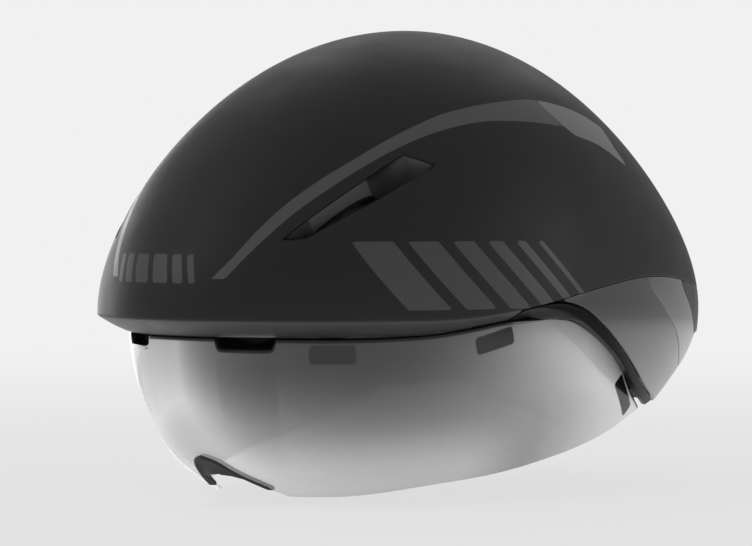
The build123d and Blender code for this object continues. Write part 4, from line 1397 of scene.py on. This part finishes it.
# Inside
class HELMET_OT_liner(bpy.types.Operator):
    """Foam liner blocks"""
    bl_idname = "helmet.liner"
    bl_label = "Liner"

    def execute(self, context):
        dress(pair("front_liner", "rear_liner"), finish("foam"), 0.8)
        return {"FINISHED"}


def head_place(turn, height, inset):
    """A point of the head space at a turn and a height."""
    share = np.sqrt(np.clip(1.0 - (np.maximum(height, 0.0) / (head_height - inset)) ** 2, 0.0, 1.0))
    reach = np.where(np.cos(turn) > 0.0, head_front, head_rear) - inset
    across = (head_half_width - inset) * share * np.sin(turn)
    return np.stack([across, head_centre - reach * share * np.cos(turn), height + 0.0 * turn], axis=-1)


def head_beside(along, height, inset):
    """A point of the head space's left side at a place along it and a height."""
    reach = np.where(along > head_centre, head_rear, head_front) - inset
    rise = np.maximum(height, 0.0) / (head_height - inset)
    share = 1.0 - ((along - head_centre) / reach) ** 2 - rise ** 2
    across = (head_half_width - inset) * np.sqrt(np.clip(share, 0.0, 1.0))
    return np.stack([across, along, height], axis=-1)


def head_over(across, along, inset):
    """A point of the head space's top over a place across and along it."""
    reach = np.where(along > head_centre, head_rear, head_front) - inset
    share = 1.0 - (across / (head_half_width - inset)) ** 2 - ((along - head_centre) / reach) ** 2
    return np.stack([across, along, (head_height - inset) * np.sqrt(np.clip(share, 0.0, 1.0))], axis=-1)


def cushion(surface, wall, grooves=0, count=64):
    """A crowned pad with drawn-in sides: surface gives its points for (u, v) from -1 to 1 and a depth."""
    across, up = np.meshgrid(np.linspace(-1.0, 1.0, count), np.linspace(-1.0, 1.0, count))
    rim = np.maximum(np.abs(across), np.abs(up))
    corner = (np.abs(across) ** 5 + np.abs(up) ** 5) ** 0.2
    rounded = rim / np.maximum(corner, 1e-9)
    u, v = across * rounded, up * rounded
    crown = (1.0 - rim ** 4) ** 0.5
    sewn = np.ones_like(rim)
    for groove in range(grooves):
        centre = -1.0 + 2.0 * (groove + 1) / (grooves + 1)
        sewn -= groove_depth * np.exp(-((u - centre) / groove_width) ** 2)
    sewn = np.where(rim > groove_rim, 1.0, sewn)
    swell = 0.5 * wall * (1.0 - pad_fall_share * rim ** 2) * crown * sewn
    top = surface(u, v, wall * 0.5 + swell)
    back = surface(u, v, wall * 0.5 - pad_back_share * wall * crown)
    return walled(top.reshape(-1, 3), back.reshape(-1, 3), grid_faces(count, count))


def span(value, ends):
    """From the first end at -1 to the other at 1."""
    return (ends[0] + ends[1]) / 2.0 + value * (ends[1] - ends[0]) / 2.0


def outward(points, faces, centre):
    """The faces, turned over if they look towards the centre of the head."""
    corner = points[faces[len(faces) // 4]]
    normal = np.cross(corner[2] - corner[0], corner[3] - corner[1])
    toward = centre - corner.mean(0)
    return faces if normal @ toward > 0 else faces[:, ::-1]


def add_cushion(name, surface, body, node, grooves, mirrored=False):
    points, faces = cushion(surface, pad_wall, grooves)
    faces = outward(points, faces, np.array([0.0, head_centre, 0.0]))
    if mirrored:
        other, flipped = mirror_piece(points, faces, -1.0)
        faces = np.concatenate([faces, np.array(flipped) + len(points)])
        points = np.concatenate([points, other])
    piece = add_piece(name, points, faces, finish("fabric"), body, [node])


class HELMET_OT_pads(bpy.types.Operator):
    """Comfort pads at the brow, crown, sides and cradle"""
    bl_idname = "helmet.pads"
    bl_label = "Comfort pads"

    def execute(self, context):
        def brow(u, v, depth):
            return head_place(np.radians(u * brow_pad_turn), span(v, brow_pad_levels), pad_gap + depth)

        def crown(u, v, depth):
            return head_over(span(v, crown_pad_across), span(u, crown_pad_along), pad_gap + depth)

        def side(u, v, depth):
            return head_beside(span(u, side_pad_along), span(v, side_pad_levels), pad_gap + depth)

        def cradle(u, v, depth):
            turn = np.radians(span(u, cradle_pad_turns))
            radius = cradle_pad_radii[1] - depth
            across, back = radius * np.sin(turn), radius * np.cos(turn)
            return tilted(np.stack([across, back, cradle_pad_half * v], axis=-1))

        add_cushion("brow_cushion", brow, "helmet", "brow_pad", 3)
        add_cushion("crown_cushions", crown, "helmet", "crown_pads", 2, mirrored=True)
        add_cushion("cradle_cushions", cradle, "cradle", "cradle_pads", 0, mirrored=True)
        points, faces = cushion(side, pad_wall, 0, 40)
        faces = outward(points, faces, np.array([0.0, head_centre, 0.0]))
        for piece in add_pair("side_cushion", points, faces, "fabric", "side_pad"):
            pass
        return {"FINISHED"}


def tilted(points):
    """From the fit system's own frame to the helmet's."""
    tilt = math.radians(fit_tilt)
    back = np.array([0.0, math.cos(tilt), -math.sin(tilt)])
    up = np.array([0.0, math.sin(tilt), math.cos(tilt)])
    across = np.array([1.0, 0.0, 0.0])
    return points[..., :1] * across + points[..., 1:2] * back + points[..., 2:] * up + np.array(fit_centre)


def ribbon(path, aside, centre):
    """Flat webbing along a path, its wall on the side of a centre, and the run along it for its weave."""
    half = web_width / 2.0
    inward = unit(np.cross(np.gradient(path, axis=0), aside))
    inward *= np.sign((inward * (centre - path)).sum(1))[:, None]
    profile = [
        (-half, 0.3), (-half + 0.3, 0.04), (-half + 1.2, 0.0), (0.0, 0.0), (half - 1.2, 0.0),
        (half - 0.3, 0.04), (half, 0.3), (half, 0.7), (half - 0.3, 0.96), (half - 1.2, 1.0), (0.0, 1.0),
        (-half + 1.2, 1.0), (-half + 0.3, 0.96), (-half, 0.7),
    ]
    lines = [path + aside * across + inward * (deep * web_wall) for across, deep in profile]
    points, faces = swept(np.stack(lines, axis=1))
    step = np.linalg.norm(np.diff(path, axis=0), axis=1)
    run = np.repeat(np.concatenate([[0.0], np.cumsum(step)]), len(profile))
    return points, faces, run


class HELMET_OT_webbing(bpy.types.Operator):
    """Chin strap webbing, folded up inside"""
    bl_idname = "helmet.webbing"
    bl_label = "Webbing"

    def execute(self, context):
        heights = np.linspace(web_foot, web_level - web_wall, 60)
        along = np.full(len(heights), web_along)
        rise = head_beside(along, heights, pad_gap)
        bridge = np.linspace(rise[-1, 0] - web_wall * 1.5, web_bar, 30)
        flat = np.stack([bridge, 0.0 * bridge + web_along, 0.0 * bridge + web_level + web_wall / 2.0], axis=1)
        path = even_line(smooth_line(np.concatenate([rise[::6], flat[::5], flat[-1:]]), 200), 120)
        aside = np.tile([0.0, 1.0, 0.0], (len(path), 1))
        front = ribbon(path, aside, np.array([0.0, web_along, 0.0]))
        run = np.subtract(rear_leg_head, rear_leg_foot)
        line = rear_leg_foot + np.linspace(0.0, 1.0, 140)[:, None] * run
        run = run / np.linalg.norm(run)
        reach = web_along + web_width / 2.0 + pad_gap
        line = line[line[:, 0] - abs(run[1]) * web_width / 2.0 > reach]
        path = head_beside(line[:, 0], line[:, 1], pad_gap)
        shifted = head_beside(line[:, 0] - run[1], line[:, 1] + run[0], pad_gap)
        rear = ribbon(path, unit(shifted - path), np.array([0.0, head_centre, 0.0]))
        points = np.concatenate([front[0], rear[0]])
        faces = front[1] + [tuple(index + len(front[0]) for index in face) for face in rear[1]]
        weave = np.concatenate([front[2], rear[2]])
        add_pair("webbing", points, faces, "webbing", "strap", {"weave": weave})
        return {"FINISHED"}


class HELMET_OT_fittings(bpy.types.Operator):
    """Buckle, sliders, anchors and the dial fit system"""
    bl_idname = "helmet.fittings"
    bl_label = "Fittings"

    def execute(self, context):
        dress(["buckle_socket", "buckle_plug"], finish("buckle"), 0.5)
        dress(pair("strap_slider", "temple_guide") + ["strap_anchors"], finish("inner"), 0.4)
        dress(["housing_front", "housing_back", "height_rail"], finish("inner"), 0.4)
        dress(pair("headband_belt"), finish("belts"), 0.15)
        dress(["drive_pinion"], finish("belts"), 0.1)
        dress(["dial_knob"], finish("dial"), 0.5)
        dress(["dial_screw"], finish("screw"), 0.25)
        return {"FINISHED"}


# Stage, in metres
softboxes = (
    ("Key", (-0.75, -1.0, 0.95), (0.9, 0.9)),
    ("Top", (-0.7, 0.85, 0.95), (1.2, 0.7)),
    ("Rim", (-1.4, 0.5, 0.1), (1.5, 0.6)),
    ("Side", (1.2, 0.9, 0.45), (0.5, 0.7)),
)
lamp_target = (0.0, 0.0, 0.02)
floor_gap = 0.0004
floor_radius = 1.4
floor_fade = (0.35, 1.2)
camera_sensor = 36.0
camera_shift = (-0.0227, 0.050)


def aimed(piece, place, target):
    piece.location = place
    piece.rotation_euler = (Vector(target) - Vector(place)).to_track_quat("-Z", "Y").to_euler()


def add_lamp(name, place, size, power):
    lamp = bpy.data.lights.new(name, "AREA")
    lamp.shape = "RECTANGLE"
    lamp.size, lamp.size_y = size
    lamp.energy = power
    holder = bpy.data.objects.new(name, lamp)
    bpy.context.scene.collection.objects.link(holder)
    aimed(holder, place, lamp_target)


def view_direction(azimuth, elevation):
    turn, rise = math.radians(azimuth), math.radians(elevation)
    return Vector((math.sin(turn) * math.cos(rise), -math.cos(turn) * math.cos(rise), math.sin(rise)))


def stage_floor(stage):
    """A pale floor that fades out with distance and keeps a soft shadow."""
    low = frame_box[0][2] - floor_gap
    turns = np.linspace(0.0, 2.0 * math.pi, 96, endpoint=False)
    mesh = bpy.data.meshes.new("floor")
    ring = [(floor_radius * math.cos(turn), floor_radius * math.sin(turn), low) for turn in turns]
    mesh.from_pydata(ring, [], [tuple(range(len(ring)))])
    floor = bpy.data.objects.new("floor", mesh)
    bpy.context.scene.collection.objects.link(floor)
    recipe = Recipe("Studio floor", stage.floor_colour, 0.9)
    recipe.feed("Specular IOR Level", 0.0)

    def emission(colour, strength):
        return recipe.add("ShaderNodeEmission", {"Color": (*colour, 1.0), "Strength": strength})

    glow = emission(stage.backdrop_colour, stage.floor_glow)
    shaded = recipe.add("ShaderNodeBsdfDiffuse", {"Color": (*[stage.floor_shade] * 3, 1.0)})
    seen = recipe.add("ShaderNodeAddShader", {0: glow.outputs[0], 1: shaded.outputs[0]})
    path = recipe.add("ShaderNodeLightPath").outputs["Is Camera Ray"]
    bounce = emission((1.0, 1.0, 1.0), stage.floor_bounce)
    unseen = recipe.add("ShaderNodeAddShader", {0: recipe.shader.outputs[0], 1: bounce.outputs[0]})
    lit = recipe.add("ShaderNodeMixShader", {0: path, 1: unseen.outputs[0], 2: seen.outputs[0]})
    spread = recipe.add("ShaderNodeVectorMath", {0: recipe.place}, operation="LENGTH").outputs["Value"]
    clear = recipe.add("ShaderNodeBsdfTransparent")
    fade = recipe.ranged(spread, 0.0, 1.0, *floor_fade)
    whole = recipe.add("ShaderNodeMixShader", {0: fade, 1: lit.outputs[0], 2: clear.outputs[0]})
    recipe.links.new(whole.outputs[0], recipe.nodes["Material Output"].inputs["Surface"])
    mesh.materials.append(recipe.material)


def studio_world(stage):
    world = bpy.data.worlds.new("Studio")
    bpy.context.scene.world = world
    world.use_nodes = True
    nodes, links = world.node_tree.nodes, world.node_tree.links
    nodes.clear()
    lit = nodes.new("ShaderNodeBackground")
    lit.inputs["Color"].default_value = (1.0, 1.0, 1.0, 1.0)
    lit.inputs["Strength"].default_value = stage.ambient
    seen = nodes.new("ShaderNodeBackground")
    seen.inputs["Color"].default_value = (*stage.backdrop_colour, 1.0)
    path = nodes.new("ShaderNodeLightPath")
    mix = nodes.new("ShaderNodeMixShader")
    out = nodes.new("ShaderNodeOutputWorld")
    links.new(path.outputs["Is Camera Ray"], mix.inputs[0])
    links.new(lit.outputs[0], mix.inputs[1])
    links.new(seen.outputs[0], mix.inputs[2])
    links.new(mix.outputs[0], out.inputs["Surface"])


class HELMET_OT_stage(bpy.types.Operator):
    """Pale floor, studio light and the camera"""
    bl_idname = "helmet.stage"
    bl_label = "Stage"

    def execute(self, context):
        stage = context.scene.helmet_stage
        stage_floor(stage)
        studio_world(stage)
        for name, place, size in softboxes:
            add_lamp(f"{name} softbox", place, size, getattr(stage, f"{name.lower()}_power"))
        camera = bpy.data.cameras.new("Camera")
        camera.lens = stage.lens
        camera.sensor_width = camera_sensor
        camera.shift_x, camera.shift_y = camera_shift
        camera.clip_end = 20.0
        holder = bpy.data.objects.new("Camera", camera)
        context.scene.collection.objects.link(holder)
        aimed(holder, view_direction(stage.azimuth, stage.elevation) * stage.distance, (0.0, 0.0, 0.0))
        context.scene.camera = holder
        context.scene.view_settings.view_transform = "Standard"
        return {"FINISHED"}


def colour_prop(name, description, level):
    return FloatVectorProperty(
        name=name, description=description, subtype="COLOR", default=grey(level), min=0.0, max=1.0)


def count_prop(name, description, default, least):
    return IntProperty(name=name, description=description, default=default, min=least)


def lip_prop(name, description, default):
    return FloatProperty(name=name, description=description, default=default, min=0.1)


def power_prop(name, default):
    text = f"Power of the {name.lower()} softbox"
    return FloatProperty(name=name, description=text, default=default, min=0.0, unit="POWER")


def strength_prop(name, description, default):
    return FloatProperty(name=name, description=description, default=default, min=0.0)


class HelmetSizes(bpy.types.PropertyGroup):
    """Sizes of the modelled sheets"""
    shell_columns: count_prop("Shell columns", "Columns round the shell", 520, 60)
    shell_rows: count_prop("Shell rows", "Rows from the crease to the crown", 150, 20)
    shell_lip: lip_prop("Shell lip", "Round of the shell's edges, mm", 0.5)
    cover_lip: lip_prop("Cover lip", "Round of the covers' edges, mm", 0.35)
    lens_columns: count_prop("Shield columns", "Columns in half the shield", 360, 40)
    lens_rows: count_prop("Shield rows", "Rows of the shield", 56, 8)


class HelmetLooks(bpy.types.PropertyGroup):
    """Colours of the helmet's finishes"""
    shell_colour: colour_prop("Shell", "Matte black of the shell", 28)
    shell_rough: FloatProperty(
        name="Shell roughness", description="Roughness of the shell", default=0.48, subtype="FACTOR")
    stripe_colour: colour_prop("Stripe", "Dark grey stripe over each side", 82)
    flash_colour: colour_prop("Flash", "Lighter rear end of the stripe", 116)
    bars_colour: colour_prop("Bars", "Plain bars on the side and brow", 72)
    bevel_colour: colour_prop("Bevel", "Band under the crease", 42)
    trim_colour: colour_prop("Trim", "Rolled edge of the ear covers", 12)
    cover_colour: colour_prop("Covers", "Glossy ear and rear covers", 130)
    duct_colour: colour_prop("Ducts", "Exhaust grilles", 30)
    vent_colour: colour_prop("Vents", "Lit facet of the side vents", 64)
    # The top of the shield's grading, where its painted reflection is brightest.
    lens_colour: colour_prop("Shield", "Lightest grey of the shield", 255)
    foam_colour: colour_prop("Foam", "Foam liner", 44)
    fabric_colour: colour_prop("Pads", "Pad cloth", 60)
    web_colour: colour_prop("Webbing", "Chin webbing", 50)


class HelmetStage(bpy.types.PropertyGroup):
    """Light and camera"""
    ambient: strength_prop("Ambient", "Strength of the even light", 0.42)
    key_power: power_prop("Key", 2.0)
    top_power: power_prop("Top", 2.0)
    rim_power: power_prop("Rim", 6.5)
    side_power: power_prop("Side", 2.0)
    floor_colour: colour_prop("Floor", "Colour of the floor", 225)
    floor_glow: strength_prop("Floor glow", "Even part of the floor's lightness", 0.8)
    floor_shade: strength_prop("Floor shade", "Part of the floor that takes shadow", 0.13)
    floor_bounce: strength_prop("Floor bounce", "Light that the floor sends up", 0.5)
    backdrop_colour: colour_prop("Backdrop", "Colour behind the helmet", 241)
    azimuth: FloatProperty(name="Azimuth", description="Camera turn from the front, degrees", default=44.0)
    elevation: FloatProperty(name="Elevation", description="Camera rise, degrees", default=2.0)
    distance: FloatProperty(name="Distance", description="Camera distance", default=1.4, unit="LENGTH")
    lens: FloatProperty(name="Lens", description="Focal length, mm", default=162.9, min=10.0)


OPERATORS = (
    HELMET_OT_shell, HELMET_OT_brow, HELMET_OT_covers, HELMET_OT_tail, HELMET_OT_trims, HELMET_OT_ducts,
    HELMET_OT_shield, HELMET_OT_shield_parts, HELMET_OT_liner, HELMET_OT_pads, HELMET_OT_webbing,
    HELMET_OT_fittings, HELMET_OT_stage,
)


class HELMET_PT_panel(bpy.types.Panel):
    """Lists the helmet's pieces and their settings"""
    bl_idname = "HELMET_PT_panel"
    bl_label = "Aero helmet"
    bl_space_type = "VIEW_3D"
    bl_region_type = "UI"
    bl_category = "Helmet"

    def draw(self, context):
        for operator in OPERATORS:
            self.layout.operator(operator.bl_idname)
        for group in (context.scene.helmet_sizes, context.scene.helmet_looks, context.scene.helmet_stage):
            box = self.layout.box()
            for name in group.__annotations__:
                box.prop(group, name)


GROUPS = (("helmet_sizes", HelmetSizes), ("helmet_looks", HelmetLooks), ("helmet_stage", HelmetStage))


def register():
    for name, group in GROUPS:
        bpy.utils.register_class(group)
        setattr(bpy.types.Scene, name, PointerProperty(type=group))
    for item in (*OPERATORS, HELMET_PT_panel):
        bpy.utils.register_class(item)


def unregister():
    for item in (HELMET_PT_panel, *OPERATORS[::-1]):
        bpy.utils.unregister_class(item)
    for name, group in GROUPS[::-1]:
        delattr(bpy.types.Scene, name)
        bpy.utils.unregister_class(group)


def main():
    register()
    for operator in OPERATORS:
        group, name = operator.bl_idname.split(".")
        getattr(getattr(bpy.ops, group), name)()


if __name__ == "__main__":
    main()
